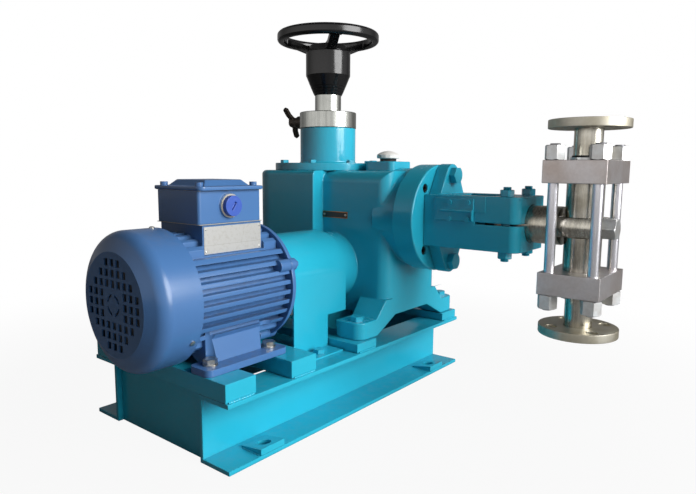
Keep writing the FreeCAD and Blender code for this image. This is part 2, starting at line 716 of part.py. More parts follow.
def motor_body():
    length = (S.frame_back, frame_front)
    slabs = []
    for step in range(int(S.fin_count.value)):
        offset = S.fin_pitch * (step - (S.fin_count.value - 1) / 2)
        low, high = offset - S.fin_thick / 2, offset + S.fin_thick / 2
        wide = (S.motor_x - S.fin_radius, S.motor_x + S.fin_radius)
        tall = (shaft_z - S.fin_radius, shaft_z + S.fin_radius)
        slabs.append(block(wide, length, (shaft_z + low, shaft_z + high)))
        slabs.append(block((S.motor_x + low, S.motor_x + high), length, tall))
    fins = common(fuse(*slabs), rod("Y", drive_line, length, S.fin_radius))
    pieces = [fins, rod("Y", drive_line, length, S.core_radius)]
    foot_span = (S.motor_hole_y - S.foot_end, S.motor_hole_y + S.motor_hole_dy + S.foot_end)
    foot_top = motor_feet + S.foot_thick
    for side in (-1, 1):
        outer = S.motor_x + S.foot_width / 2 * side
        inner = outer - S.foot_tread * side
        x_span = ordered(inner, outer)
        foot = block(x_span, foot_span, (motor_feet, foot_top))
        pieces.append(rounded(foot, S.foot_thick, lambda middle, run: abs(run.z) > 1))
        web = body_on("Y", (0, 0), S.frame_back + 24)
        web_x = outer - S.foot_tread / 2 * side
        pad(web, (0, 90), [[
            (motor_feet + 1, inner), (motor_feet + 1, web_x), (shaft_z - S.shaft_height / 3, inner + 8 * side),
            (shaft_z - S.shaft_height / 3, inner - 20 * side), (foot_top + 3, inner - 20 * side),
        ]])
        pieces.append(web)
    seat_x = S.motor_x + S.box_offset
    seat = block((seat_x - S.box_width / 2, seat_x + S.box_width / 2),
                 (S.box_low_y + S.box_overhang, S.box_low_y + S.box_length), (shaft_z, shaft_z + S.neck_top))
    pieces.append(seat)
    bore = rod("Y", drive_line, (S.frame_back - 1, frame_front + 1), S.frame_bore)
    wires = rod("Z", (seat_x, S.box_low_y + S.box_length / 2), (shaft_z, shaft_z + S.neck_top + 1),
                S.slot_outer)
    ear_bolts = drilled((frame_front - 14, frame_front + 1), "Y", shield_bolts(), 3 + S.run_gap)
    foot_holes = drilled((motor_feet - 1, foot_top + 1), "Z", motor_holes,
                         S.motor_bolt_dia / 2 + S.run_gap)
    lugs = [rod("Y", spot, (frame_front - 20, frame_front), S.shield_ear) for spot in shield_bolts()]
    spot_faces = drilled((foot_top, foot_top + 40), "Z", motor_holes, S.motor_bolt_dia + 2)
    plate_low = shaft_z + S.neck_top - S.neck_plate_high - 4
    plate_seat = block((seat_x + S.box_width / 2, S.motor_x + S.fin_radius + 1),
                       (S.box_low_y + S.box_overhang - 1, S.box_low_y + S.box_length + 1),
                       (plate_low, shaft_z + S.neck_top + 1))
    keep("motor_frame", cut(fuse(*pieces, *lugs), bore, wires, plate_seat,
                            *foot_holes, *ear_bolts, *spot_faces))


def shield_bolts():
    return spots_around(drive_line, S.shield_radius - 5, 4, S.ear_angle.value)


def motor_shields():
    low = frame_front
    hole = S.shoulder_dia / 2 + 1
    outline = [
        (S.bearing_radius + S.run_gap, 0), (S.shield_radius, 0), (S.shield_radius, S.shield_depth - 6),
        (S.shield_radius - 6, S.shield_depth), (S.bearing_radius + 12, S.shield_depth),
        (S.bearing_radius + 8, S.shield_depth + S.hub_depth), (hole, S.shield_depth + S.hub_depth),
        (hole, S.bearing_width + 2), (S.bearing_radius + S.run_gap, S.bearing_width + 2),
    ]
    shield = turned("Y", drive_line, outline, low)
    ears = [rod("Y", spot, (low, shield_face), S.shield_ear) for spot in shield_bolts()]
    holes = drilled((low - 1, shield_face + 1), "Y", shield_bolts(), 3 + S.run_gap)
    keep("drive_end_shield", cut(fuse(shield, *ears), *holes))

    rear = S.frame_back
    seat = S.bearing_radius + S.run_gap
    outline = [
        (seat, 0), (S.fin_radius - 1, 0), (S.fin_radius - 1, -9), (seat + 7, -S.bearing_width - 2),
        (hole, -S.bearing_width - 2), (hole, -S.bearing_width - 0.5), (seat, -S.bearing_width - 0.5),
    ]
    shield = turned("Y", drive_line, outline, rear)
    inner_wall = S.cover_radius - S.cover_wall - S.run_gap
    lugs = common(
        fuse(*[rod("Y", spot, (rear - 9, rear), 8) for spot in spots_around(drive_line, S.fin_radius, 4, 45)]),
        rod("Y", drive_line, (rear - 9, rear), inner_wall))
    keep("rear_end_shield", fuse(shield, lugs))


def fan_cover():
    wall = S.cover_wall
    outline = [
        (S.cover_radius, 0), (S.cover_radius, S.cover_shoulder - S.cover_length),
        (S.grille_radius, -S.cover_length), (0, -S.cover_length), (0, wall - S.cover_length),
        (S.grille_radius - wall / 2, wall - S.cover_length),
        (S.cover_radius - wall, S.cover_shoulder - S.cover_length + wall / 2), (S.cover_radius - wall, 0),
    ]
    sheet_metal = turned("Y", drive_line, outline, S.frame_back)
    bent = rounded(sheet_metal, S.cover_round - wall, rim_rule(S.cover_radius - wall, cover_back + 4))
    shell = rounded(bent, S.cover_round, rim_rule(S.cover_radius, cover_back + 4))
    through = (cover_back - 1, cover_back + S.cover_wall + 1)
    reach = S.grille_reach.value
    holes = []
    for column in range(-4, 5):
        for line in range(-4, 5):
            if column ** 2 + line ** 2 > reach or max(abs(column), abs(line)) < 2:
                continue
            x, z = S.motor_x + S.grille_pitch * column, shaft_z + S.grille_pitch * line
            holes.append(block((x - S.grille_wide / 2, x + S.grille_wide / 2), through,
                               (z - S.grille_high / 2, z + S.grille_high / 2)))
    slot = ring("Y", drive_line, through, S.slot_outer, S.slot_inner)
    cross = [
        block((S.motor_x - 3, S.motor_x + 3), through, (shaft_z - 20, shaft_z + 20)),
        block((S.motor_x - 20, S.motor_x + 20), through, (shaft_z - 3, shaft_z + 3)),
    ]
    keep("fan_cover", cut(shell, group(*holes, cut(slot, *cross))))


def rim_rule(radius, after):
    """The round edge of a radius about the drive line that lies just beyond a depth along Y."""
    def rule(middle, run):
        reach = math.hypot(middle.x - number(S.motor_x), middle.z - number(shaft_z))
        return near(reach, radius) and number(after) < middle.y < number(after) + 30
    return rule


def fan_and_rotor():
    start = cover_back + 14
    fan = body_on("Y", drive_line, start)
    shaft = S.motor_shaft_dia / 2
    pad(fan, (0, 3), circles=[((0, 0), S.fan_radius - 10), ((0, 0), shaft)])
    pad(fan, (0, S.fan_width), circles=[((0, 0), S.fan_hub), ((0, 0), shaft)])
    blade = pad(fan, (0, S.fan_width), [[
        (S.fan_hub - 2, -S.blade_thick / 2), (S.fan_radius, -S.blade_thick / 2),
        (S.fan_radius, S.blade_thick / 2), (S.fan_hub - 2, S.blade_thick / 2),
    ]])
    around(fan, blade, S.fan_blades)
    keep("cooling_fan", fan)

    middle = (S.frame_back + frame_front) / 2
    near_end, far_end = middle - S.rotor_length / 2, middle + S.rotor_length / 2
    thin, thick = S.motor_shaft_dia / 2, S.shoulder_dia / 2
    rotor = turned("Y", drive_line, [
        (0, start), (thin, start), (thin, S.frame_back - 2), (thick, S.frame_back - 2),
        (thick, near_end), (S.rotor_radius, near_end), (S.rotor_radius, far_end), (thick, far_end),
        (thick, shoulder_y), (thin, shoulder_y), (thin, shaft_end), (0, shaft_end),
    ])
    keep("motor_rotor", rotor)

    bore = S.rotor_radius + S.air_gap
    outer = S.frame_bore - S.run_gap
    core = ring("Y", drive_line, (near_end, far_end), outer, bore)
    windings = []
    for low in (near_end - S.winding_length, far_end):
        windings.append(ring("Y", drive_line, (low, low + S.winding_length), outer - 4, bore + 3))
    keep("stator_core", group(core, *windings))


def bearings():
    worm = S.worm_shaft_dia / 2 + S.run_gap
    motor = S.shoulder_dia / 2 + S.run_gap
    width = S.bearing_width
    rings = [
        ring("Y", drive_line, (frame_front + 1, frame_front + 1 + width), S.bearing_radius, motor),
        ring("Y", drive_line, (S.frame_back - width, S.frame_back), S.bearing_radius,
             S.motor_shaft_dia / 2 + 3 + S.run_gap),
    ]
    tunnel = S.tunnel_radius - S.run_gap
    for low in (S.boss_front + 8, S.boss_back - 8 - width):
        rings.append(ring("Y", drive_line, (low, low + width), tunnel, worm))
    floor = belly + S.chamber_floor
    for top in (floor, floor - S.wheel_bearing_width - 5):
        rings.append(ring("Z", wheel_line, (top - S.wheel_bearing_width, top),
                          S.wheel_bearing - S.run_gap, S.wheel_hub + S.run_gap))
    keep("shaft_bearings", group(*rings))


def terminal_box():
    middle = S.motor_x + S.box_offset
    x_span = (middle - S.box_width / 2, middle + S.box_width / 2)
    y_span = (S.box_low_y, S.box_low_y + S.box_length)
    low, high = shaft_z + S.neck_top, shaft_z + S.neck_top + S.box_height
    wall = S.box_wall
    outside = rounded(block(x_span, y_span, (low, high)), 4, lambda middle, run: abs(run.z) > 1)
    inside = block((x_span[0] + wall, x_span[1] - wall), (y_span[0] + wall, y_span[1] - wall),
                   (low + wall, high + 1))
    plug_y, plug_z = y_span[0] + S.plug_offset, (low + high) / 2 + 1
    entry = rod("X", (plug_y, plug_z), (x_span[1] - wall - 1, x_span[1] + 4), S.plug_radius - 4)
    boss = rod("X", (plug_y, plug_z), (x_span[1] - wall, x_span[1] + 2), S.plug_radius + 3)
    wires = rod("Z", (middle, S.box_low_y + S.box_length / 2), (low - 1, low + wall + 1), S.slot_outer)
    posts = fuse(*[rod("Z", spot, (low + wall, high), 5) for spot in lid_screws(0)])
    taps = drilled((high - 14, high + 1), "Z", lid_screws(0), 2 + S.run_gap)
    keep("terminal_box", cut(fuse(cut(outside, inside), boss, posts), entry, wires, *taps))

    plug = fuse(
        rod("X", (plug_y, plug_z), (x_span[1] + 2, x_span[1] + 2 + S.plug_reach), S.plug_radius),
        rod("X", (plug_y, plug_z), (x_span[1] - wall, x_span[1] + 4), S.plug_radius - 4 - S.run_gap))
    face = x_span[1] + 2 + S.plug_reach
    slot = group(block((face - 3, face + 1), (plug_y - 1.5, plug_y + 1.5), (plug_z - 6, plug_z + 6)))
    keep("cable_plug", cut(plug, leaned(slot, (plug_y, plug_z), S.plug_lean)))

    lip = S.lid_lip
    wide, long = S.box_width / 2 + lip, S.box_length / 2 + 2
    centre_y = S.box_low_y + S.box_length / 2
    plate = block((middle - wide, middle + wide), (centre_y - long, centre_y + long),
                  (high, high + S.lid_plate))
    base = rounded(plate, 8, lambda spot, run: abs(run.z) > 1)
    crown = block((middle - S.box_width / 2 + 6, middle + S.box_width / 2 - 6),
                  (centre_y - long + 16, centre_y + long - 16),
                  (high + S.lid_plate - 1, high + S.lid_plate + S.lid_rise))
    doc.recompute()
    bevel = doc.addObject("Part::Chamfer", "Crown")
    bevel.Base = crown
    crown_top = number(high + S.lid_plate + S.lid_rise)
    rims = [
        index for index, edge in enumerate(crown.Shape.Edges, start=1)
        if all(near(point.Point.z, crown_top) for point in edge.Vertexes)
    ]
    bevel.Edges = [(index, number(S.lid_slope), number(S.lid_slope)) for index in rims]
    holes = drilled((high - 1, high + S.lid_plate + 1), "Z", lid_screws(0), 2 + S.run_gap)
    keep("terminal_lid", cut(fuse(base, bevel), *holes))
    screws = []
    for spot in lid_screws(0):
        head = rod("Z", spot, (high + S.lid_plate, high + S.lid_plate + 5), 5)
        shank = rod("Z", spot, (high - 12, high + S.lid_plate + 1), 2)
        screws.append(fuse(head, shank))
    keep("terminal_lid_screws", group(*screws))

    plate_x = x_span[1]
    top = low - 3
    keep("motor_nameplate", block((plate_x, plate_x + S.plate_thick),
                                  (S.box_low_y + S.box_overhang + 2, S.box_low_y + S.box_length - 1),
                                  (top - S.neck_plate_high, top)))


def lid_screws(lift):
    centre = (S.motor_x + S.box_offset, S.box_low_y + S.box_length / 2)
    return four_corners(centre, S.box_width - 14, S.box_length - 14)


def motor_fasteners():
    seat = motor_feet + S.foot_thick
    bolts = []
    for spot in motor_holes:
        flat = washer("Z", spot, (seat, seat + 2), S.motor_bolt_dia, S.motor_bolt_dia / 2 + S.run_gap)
        bolts.append(fuse(
            hexagon("Z", spot, (seat + 2, seat + 2 + S.motor_bolt_dia * 0.65), S.motor_bolt_flats),
            rod("Z", spot, (S.base_height + 5, seat + 3), S.motor_bolt_dia / 2)))
        bolts.append(flat)
    keep("motor_foot_bolts", group(*bolts))

    screws = []
    for spot in shield_bolts():
        screws.append(fuse(
            hexagon("Y", spot, (shield_face, shield_face + 5), Size(10, "10")),
            rod("Y", spot, (frame_front - 13, shield_face), 3)))
    keep("motor_case_screws", group(*screws))


def coupling():
    shaft = S.motor_shaft_dia / 2 + S.run_gap
    face = {1: shaft_end, -1: shaft_end + S.jaw_length + S.coupling_gap * 2}
    pitch = 360.0 / (2 * S.jaw_count.value)
    hubs = []
    for way, first in ((1, 0.0), (-1, pitch)):
        start = face[way]
        hub = body_on("Y", drive_line, start)
        pad(hub, ordered(-S.hub_length * way, Size(0, "0")), circles=[((0, 0), S.hub_radius), ((0, 0), shaft)])
        jaw = pad(hub, ordered(-1 * way + Size(0, "0"), (S.jaw_length + S.coupling_gap) * way),
                  [sector(first, S.jaw_angle, S.jaw_inner, S.hub_radius)])
        around(hub, jaw, S.jaw_count)
        hubs.append(hub)
    keep("coupling_hubs", group(*hubs))

    spider = body_on("Y", drive_line, face[1] + S.coupling_gap)
    pad(spider, (0, S.jaw_length), circles=[((0, 0), S.jaw_inner - 1), ((0, 0), S.jaw_inner - 6)])
    leg = pad(spider, (0, S.jaw_length), [sector(pitch / 2, S.leg_angle, S.jaw_inner - 2, S.hub_radius - 2)])
    around(spider, leg, S.jaw_count * 2)
    keep("coupling_spider", spider)


def sector(middle, angle, inner, outer):
    """A four-sided piece of a ring, symmetrical about a direction in degrees."""
    corners = []
    for radius, side in ((inner, -1), (outer, -1), (outer, 1), (inner, 1)):
        at = math.radians(middle + number(angle) / 2 * side)
        corners.append((radius * math.cos(at), radius * math.sin(at)))
    return corners


def coupling_guard():
    low = S.boss_front - S.guard_length
    leg_end = S.boss_front - S.guard_length + S.guard_leg
    outer, inner = S.guard_radius, S.guard_radius - S.guard_wall
    x_low, x_high = S.motor_x - outer, S.motor_x + outer
    span = (low, S.boss_front)
    shell = fuse(rod("Y", drive_line, span, outer),
                 block((x_low, x_high), (low, leg_end), (S.base_height, shaft_z)),
                 block((x_low, x_high), span, (S.base_height + S.guard_notch, shaft_z)))
    below = (S.base_height - 1, shaft_z)
    hollow = fuse(rod("Y", drive_line, (low - 1, S.boss_front + 1), inner),
                  block((S.motor_x - inner, S.motor_x + inner), (low - 1, S.boss_front + 1), below))
    feet = []
    for side in (-1, 1):
        edge = S.motor_x + (outer - S.guard_wall) * side
        tip = S.motor_x + (outer + S.guard_foot) * side
        feet.append(block(ordered(edge, tip), (low + 2, leg_end - 1),
                          (S.base_height, S.base_height + S.guard_wall)))
    holes = drilled((S.base_height - 1, S.base_height + 5), "Z", guard_holes,
                    S.guard_bolt_dia / 2 + S.run_gap)
    keep("coupling_guard", cut(fuse(cut(shell, hollow), *feet), *holes))

    seat = S.base_height + S.guard_wall
    screws = [
        hex_bolt("Z", spot, seat, S.guard_bolt_dia, S.motor_bolt_flats, S.guard_wall + S.flange_thick)
        for spot in guard_holes
    ]
    keep("guard_screws", group(*screws))


def gear_housing():
    left = wheel_x - S.disc_radius
    half = S.gear_half
    y_low, y_high = S.pump_y - half, S.pump_y + half
    split = S.gear_split
    gear_block = rounded(block((left, split), (y_low, y_high), (belly, top_z)), S.gear_corner,
                         lambda middle, run: abs(run.z) > 1 and near(middle.x, left))
    gear_block = rounded(gear_block, S.top_round,
                         lambda middle, run: near(middle.z, top_z) and not near(middle.x, split))
    cross_block = rounded(
        block((split - 20, S.housing_half), (S.pump_y - S.cross_half, S.pump_y + S.cross_half), (belly, top_z)),
        S.cross_round,
        lambda middle, run: (near(middle.z, top_z) and abs(run.x) > 1)
        or (abs(run.z) > 1 and near(middle.x, S.housing_half)))
    skirt = body_on("X", (0, 0), -S.housing_half)
    foot_top = pump_feet + S.foot_height
    slope_top = pump_feet + S.slope_end
    profile = [
        (S.foot_reach, pump_feet), (S.foot_reach, foot_top), (S.arch_foot, foot_top),
        (S.cross_half - 1, slope_top),
    ]
    far_side = [(S.pump_y + dy, z) for dy, z in profile]
    near_side = [(S.pump_y - dy, z) for dy, z in profile]
    pad(skirt, (0, S.housing_half * 2), [far_side + near_side[::-1]])
    feet = rounded(skirt, S.foot_corner,
                   lambda middle, run: abs(run.z) > 5 and abs(run.y) < 1
                   and abs(abs(middle.y - number(S.pump_y)) - number(S.foot_reach)) < 0.1)
    between = body_on("Y", (0, 0), S.pump_y - S.foot_reach - 1)
    inside, high_inside = S.foot_inside, S.foot_inside - S.foot_draft
    pad(between, (0, S.foot_reach * 2 + 2), [[
        (pump_feet - 1, -inside), (pump_feet - 1, inside), (slope_top + 1, high_inside), (slope_top + 1, -high_inside),
    ]])
    pieces = [gear_block, cross_block, cut(feet, between)]
    pieces.append(rod("X", plunger_line, (S.housing_half - 30, neck_face), S.neck_radius))
    pieces.append(rod("Y", drive_line, (S.boss_front, S.boss_back), S.boss_radius))
    pad_x = (S.filler_x - S.filler_half, S.filler_x + S.filler_half)
    pad_y = (S.pump_y - S.filler_half, S.pump_y + S.filler_half)
    pieces.append(rounded(block(pad_x, pad_y, (top_z - 5, top_z + S.filler_pad)), 10,
                          lambda middle, run: abs(run.z) > 1))
    casting = fuse(*pieces)

    arches = []
    low = pump_feet - 1
    for axis, centre, half_span in (("X", S.pump_y, S.foot_reach), ("Y", Size(0, "0"), S.housing_half)):
        foot, top = S.arch_foot, S.arch_top
        if axis == "X":
            tunnel = body_on("X", (0, 0), -S.housing_half - 20)
            corners = [(centre - foot, low), (centre + foot, low), (centre + top, belly), (centre - top, belly)]
        else:
            tunnel = body_on("Y", (0, 0), S.pump_y - half_span - 20)
            corners = [(low, -foot), (low, foot), (belly, top), (belly, -top)]
        pad(tunnel, (0, half_span * 2 + 40), [corners])
        arches.append(tunnel)

    floor = belly + S.chamber_floor
    seat_low = floor - S.wheel_bearing_width * 2 - 5
    small = S.small_bolt_dia / 2 + S.run_gap
    hollows = [
        rod("Z", wheel_line, (floor, top_z + 1), S.chamber_radius),
        rod("Z", wheel_line, (seat_low, floor + 1), S.wheel_bearing),
        rod("X", plunger_line, (wheel_x, neck_face + 1), S.bore_radius),
        rod("Y", drive_line, (S.boss_front - 1, S.boss_back + 1), S.tunnel_radius),
        rod("Z", (S.filler_x, S.pump_y), (plunger_z, top_z + S.filler_pad + 1), S.filler_hole),
    ]
    hollows += drilled((pump_feet - 1, foot_top + 1), "Z", pump_holes, S.pump_bolt_dia / 2 + S.run_gap)
    hollows += drilled((top_z - 20, top_z + 1), "Z", disc_bolt_spots(), small)
    hollows += drilled((S.boss_back - 20, S.boss_back + 1), "Y", end_cover_spots(), small)
    hollows += drilled((neck_face - 22, neck_face + 1), "X", ring_screw_spots(), small)
    keep("gear_housing", cut(casting, *arches, *hollows))


def disc_bolt_spots():
    return spots_around(wheel_line, S.disc_bolt_circle, int(S.disc_bolts.value), 180.0 / S.disc_bolts.value)


def end_cover_spots():
    return spots_around(drive_line, (S.end_cover_radius + S.tunnel_radius) / 2, 4, 45)


def ring_screw_spots():
    return spots_around(plunger_line, S.ring_screw_circle, 4, 45)


def housing_fittings():
    small = S.small_bolt_dia / 2 + S.run_gap
    span = (S.boss_back, S.boss_back + S.end_cover_thick)
    plate = rod("Y", drive_line, span, S.end_cover_radius)
    plug = rod("Y", drive_line, (S.boss_back - 7, S.boss_back + 1), S.tunnel_radius - S.run_gap)
    plate = cut(fuse(plate, plug), *drilled((S.boss_back - 1, span[1] + 1), "Y", end_cover_spots(), small))
    seal = ring("Y", drive_line, (S.boss_front, S.boss_front + 7), S.tunnel_radius - S.run_gap,
                S.worm_shaft_dia / 2 + S.run_gap)
    keep("worm_end_covers", group(plate, seal))

    bolts = [
        hex_bolt("Z", spot, column_foot, S.small_bolt_dia, S.small_bolt_flats, S.disc_thick + 18)
        for spot in disc_bolt_spots()
    ]
    bolts += [
        hex_bolt("Y", spot, span[1], S.small_bolt_dia, S.small_bolt_flats, S.end_cover_thick + 18)
        for spot in end_cover_spots()
    ]
    keep("housing_cover_bolts", group(*bolts))

    seat = pump_feet + S.foot_height
    bolts = [
        hex_bolt("Z", spot, seat, S.pump_bolt_dia, S.pump_bolt_flats, S.foot_height + S.pump_bar)
        for spot in pump_holes
    ]
    keep("pump_foot_bolts", group(*bolts))

    face = S.pump_y - S.cross_half
    long, high = S.casting_plate_long / 2, S.casting_plate_high / 2
    middle_x, middle_z = S.gear_split + long + 1, plunger_z + 1
    plate = block((middle_x - long, middle_x + long), (face - S.plate_thick, face),
                  (middle_z - high, middle_z + high))
    rivets = [
        rod("Y", (middle_x + (long - 4) * side, middle_z), (face - S.plate_thick - 1, face - S.plate_thick / 2), 2)
        for side in (-1, 1)
    ]
    keep("housing_nameplate", fuse(plate, *rivets))

    pad_top = top_z + S.filler_pad
    cap = turned("Z", (S.filler_x, S.pump_y), [
        (0, -12), (S.filler_hole - S.run_gap, -12), (S.filler_hole - S.run_gap, S.seat_gap),
        (S.cap_radius - 4, S.seat_gap), (S.cap_radius, 5), (S.cap_radius, 9),
        (S.cap_radius - 7, 15), (6, S.cap_height), (0, S.cap_height),
    ], pad_top)
    keep("oil_filler_cap", cap)


def worm_gear():
    lead = math.pi * S.tooth_module * S.worm_starts
    addendum = S.tooth_module - 0.2
    dedendum = S.tooth_module * 1.2
    pitch = math.pi * S.tooth_module
    start = S.pump_y - S.thread_length / 2
    worm_pitch = S.worm_pitch_dia / 2
    worm_root = worm_pitch - dedendum
    worm_tip = worm_pitch + addendum
    end, body_end = S.worm_shaft_dia / 2, S.worm_body_dia / 2
    front = shaft_end + S.jaw_length + S.coupling_gap * 2
    shaft = body_on("Y", drive_line, start)
    turn(shaft, [
        (0, front - start), (end, front - start), (end, S.boss_front + 23.5 - start),
        (body_end, S.boss_front + 23.5 - start), (body_end, -8), (worm_root, -8),
        (worm_root, S.thread_length + 8), (body_end, S.thread_length + 8),
        (body_end, S.boss_back - 23.5 - start), (end, S.boss_back - 23.5 - start),
        (end, S.boss_back - 8 - start), (0, S.boss_back - 8 - start),
    ])
    flank = math.tan(math.radians(20))
    half = pitch / 4 - S.tooth_play / 2
    low_half, high_half = half + (dedendum + 0.5) * flank, half - addendum * flank
    profile = sketch_on(shaft, "XZ_Plane")
    phase = worm_phase(lead, pitch)
    draw_outline(profile, [
        (worm_root - 0.5, phase - low_half), (worm_tip, phase - high_half),
        (worm_tip, phase + high_half), (worm_root - 0.5, phase + low_half),
    ])
    thread = shaft.newObject("PartDesign::AdditiveHelix", "Thread")
    thread.Profile = profile
    thread.ReferenceAxis = (profile, ["V_Axis"])
    thread.Mode = 0
    bind(thread, "Pitch", lead)
    bind(thread, "Height", S.thread_length)
    shaft.Tip = thread
    doc.recompute()
    threads = shaft.newObject("PartDesign::PolarPattern", "Starts")
    threads.Originals = [thread]
    threads.Axis = (profile, ["V_Axis"])
    threads.Angle = 360
    bind(threads, "Occurrences", S.worm_starts)
    shaft.Tip = threads
    keep("worm_shaft", shaft)

    half_width = S.wheel_width / 2
    wheel_root, wheel_tip = wheel_pitch - dedendum, wheel_pitch + addendum
    floor = belly + S.chamber_floor
    low = floor - S.wheel_bearing_width * 2 - 4
    wheel = body_on("Z", wheel_line, shaft_z)
    bore = S.journal_dia / 2 + S.run_gap
    turn(wheel, [
        (bore, low - shaft_z), (S.wheel_hub, low - shaft_z), (S.wheel_hub, -half_width),
        (wheel_root, -half_width), (wheel_root, half_width), (S.wheel_hub, half_width),
        (S.wheel_hub, S.hub_top), (bore, S.hub_top),
    ])
    twist = math.degrees(number(S.wheel_width) * number(lead) / (2 * math.pi * number(worm_pitch))
                         / number(wheel_pitch))
    half_pitch = 180.0 / S.wheel_teeth.value
    faces = []
    for lift, turned_by in ((-half_width, -twist / 2), (half_width, twist / 2)):
        face = sketch_on(wheel, "XY_Plane", lift, half_pitch + turned_by)
        draw_outline(face, [
            (wheel_root - 0.5, -half - (dedendum + 0.5) * flank), (wheel_tip, -half + addendum * flank),
            (wheel_tip, half - addendum * flank), (wheel_root - 0.5, half + (dedendum + 0.5) * flank),
        ])
        faces.append(face)
    tooth = wheel.newObject("PartDesign::AdditiveLoft", "Tooth")
    tooth.Profile = faces[0]
    tooth.Sections = [(faces[1], [""])]
    tooth.Ruled = True
    wheel.Tip = tooth
    doc.recompute()
    teeth = wheel.newObject("PartDesign::PolarPattern", "Teeth")
    teeth.Originals = [tooth]
    teeth.Axis = (faces[0], ["N_Axis"])
    teeth.Angle = 360
    bind(teeth, "Occurrences", S.wheel_teeth)
    wheel.Tip = teeth
    keep("worm_wheel", wheel)


def worm_phase(lead, pitch):
    """Place of a thread's sketch that puts a crest opposite the wheel axis."""
    turn_to_wheel = 0.75
    travel = S.thread_length.value / 2 - number(lead) * turn_to_wheel
    return Size(travel % number(pitch), repr(travel % number(pitch)))


def crank():
    bottom = pump_feet + S.arch_height + 56
    journal = S.journal_dia / 2
    rod_half = S.rod_thick / 2
    low_top = plunger_z - rod_half - 3
    low_web = low_top - S.web_thick
    high_web = plunger_z + rod_half + S.adjust_travel + 5
    web_top = high_web + S.web_thick
    shaft = body_on("Z", wheel_line)
    pad(shaft, (bottom, low_web), circles=[((0, 0), journal)])
    pad(shaft, (low_web, low_top), circles=[((0, 0), S.crank_web)])
    ends = []
    for height in (low_top, high_web):
        face = sketch_on(shaft, "XY_Plane", height)
        draw_circle(face, ((height - plunger_z) * slope, 0), S.crank_pin_dia / 2)
        ends.append(face)
    pin = shaft.newObject("PartDesign::AdditiveLoft", "SlantedPin")
    pin.Profile = ends[0]
    pin.Sections = [(ends[1], [""])]
    pin.Ruled = True
    shaft.Tip = pin
    pad(shaft, (high_web, web_top), circles=[((0, 0), S.crank_web)])
    pad(shaft, (web_top, carrier_low + 18.5), circles=[((0, 0), journal)])
    pad(shaft, (carrier_low + 18.5, carrier_low + 24), circles=[((0, 0), journal + 4)])
    keep("crank_shaft", shaft)


carrier_low = top_z + 3
screw_seat = carrier_low + 30


def running_gear():
    cross_low = wheel_x + S.rod_length - 20
    cross_high = cross_low + S.cross_length
    pin_x = wheel_x + S.rod_length
    pin_line = (pin_x, S.pump_y)
    thick = (plunger_z - S.rod_thick / 2, plunger_z + S.rod_thick / 2)
    shank = block((wheel_x + S.rod_bore + 2, pin_x), (S.pump_y - S.rod_shank / 2, S.pump_y + S.rod_shank / 2),
                  (thick[0] + 2, thick[1] - 2))
    body = fuse(rod("Z", wheel_line, thick, S.rod_eye), shank, rod("Z", pin_line, thick, S.rod_small_eye))
    keep("connecting_rod", cut(body, rod("Z", wheel_line, thick, S.rod_bore),
                               rod("Z", pin_line, thick, S.cross_pin_dia / 2 + S.run_gap)))

    slide = rod("X", plunger_line, (cross_low, cross_high), S.bore_radius - S.run_gap)
    slot = block((cross_low - 1, pin_x + S.rod_small_eye + 4),
                 (S.pump_y - S.cross_slot / 2, S.pump_y + S.cross_slot / 2), (thick[0] - 1, thick[1] + 1))
    pin_hole = rod("Z", pin_line, (plunger_z - S.bore_radius, plunger_z + S.bore_radius),
                   S.cross_pin_dia / 2 + S.run_gap)
    socket = rod("X", plunger_line, (cross_high - 16, cross_high + 1), S.plunger_dia / 2 + S.run_gap)
    keep("crosshead", cut(slide, slot, pin_hole, socket))
    half_pin = S.cross_pin_length / 2
    keep("crosshead_pin", rod("Z", pin_line, (plunger_z - half_pin, plunger_z + half_pin), S.cross_pin_dia / 2))
    keep("plunger", turned("X", plunger_line, [
        (0, cross_high - 15), (S.plunger_dia / 2, cross_high - 15),
        (S.plunger_dia / 2, plunger_tip - 2), (S.plunger_dia / 2 - 2, plunger_tip), (0, plunger_tip),
    ]))


plunger_tip = valve_x - S.head_half_flat - 21


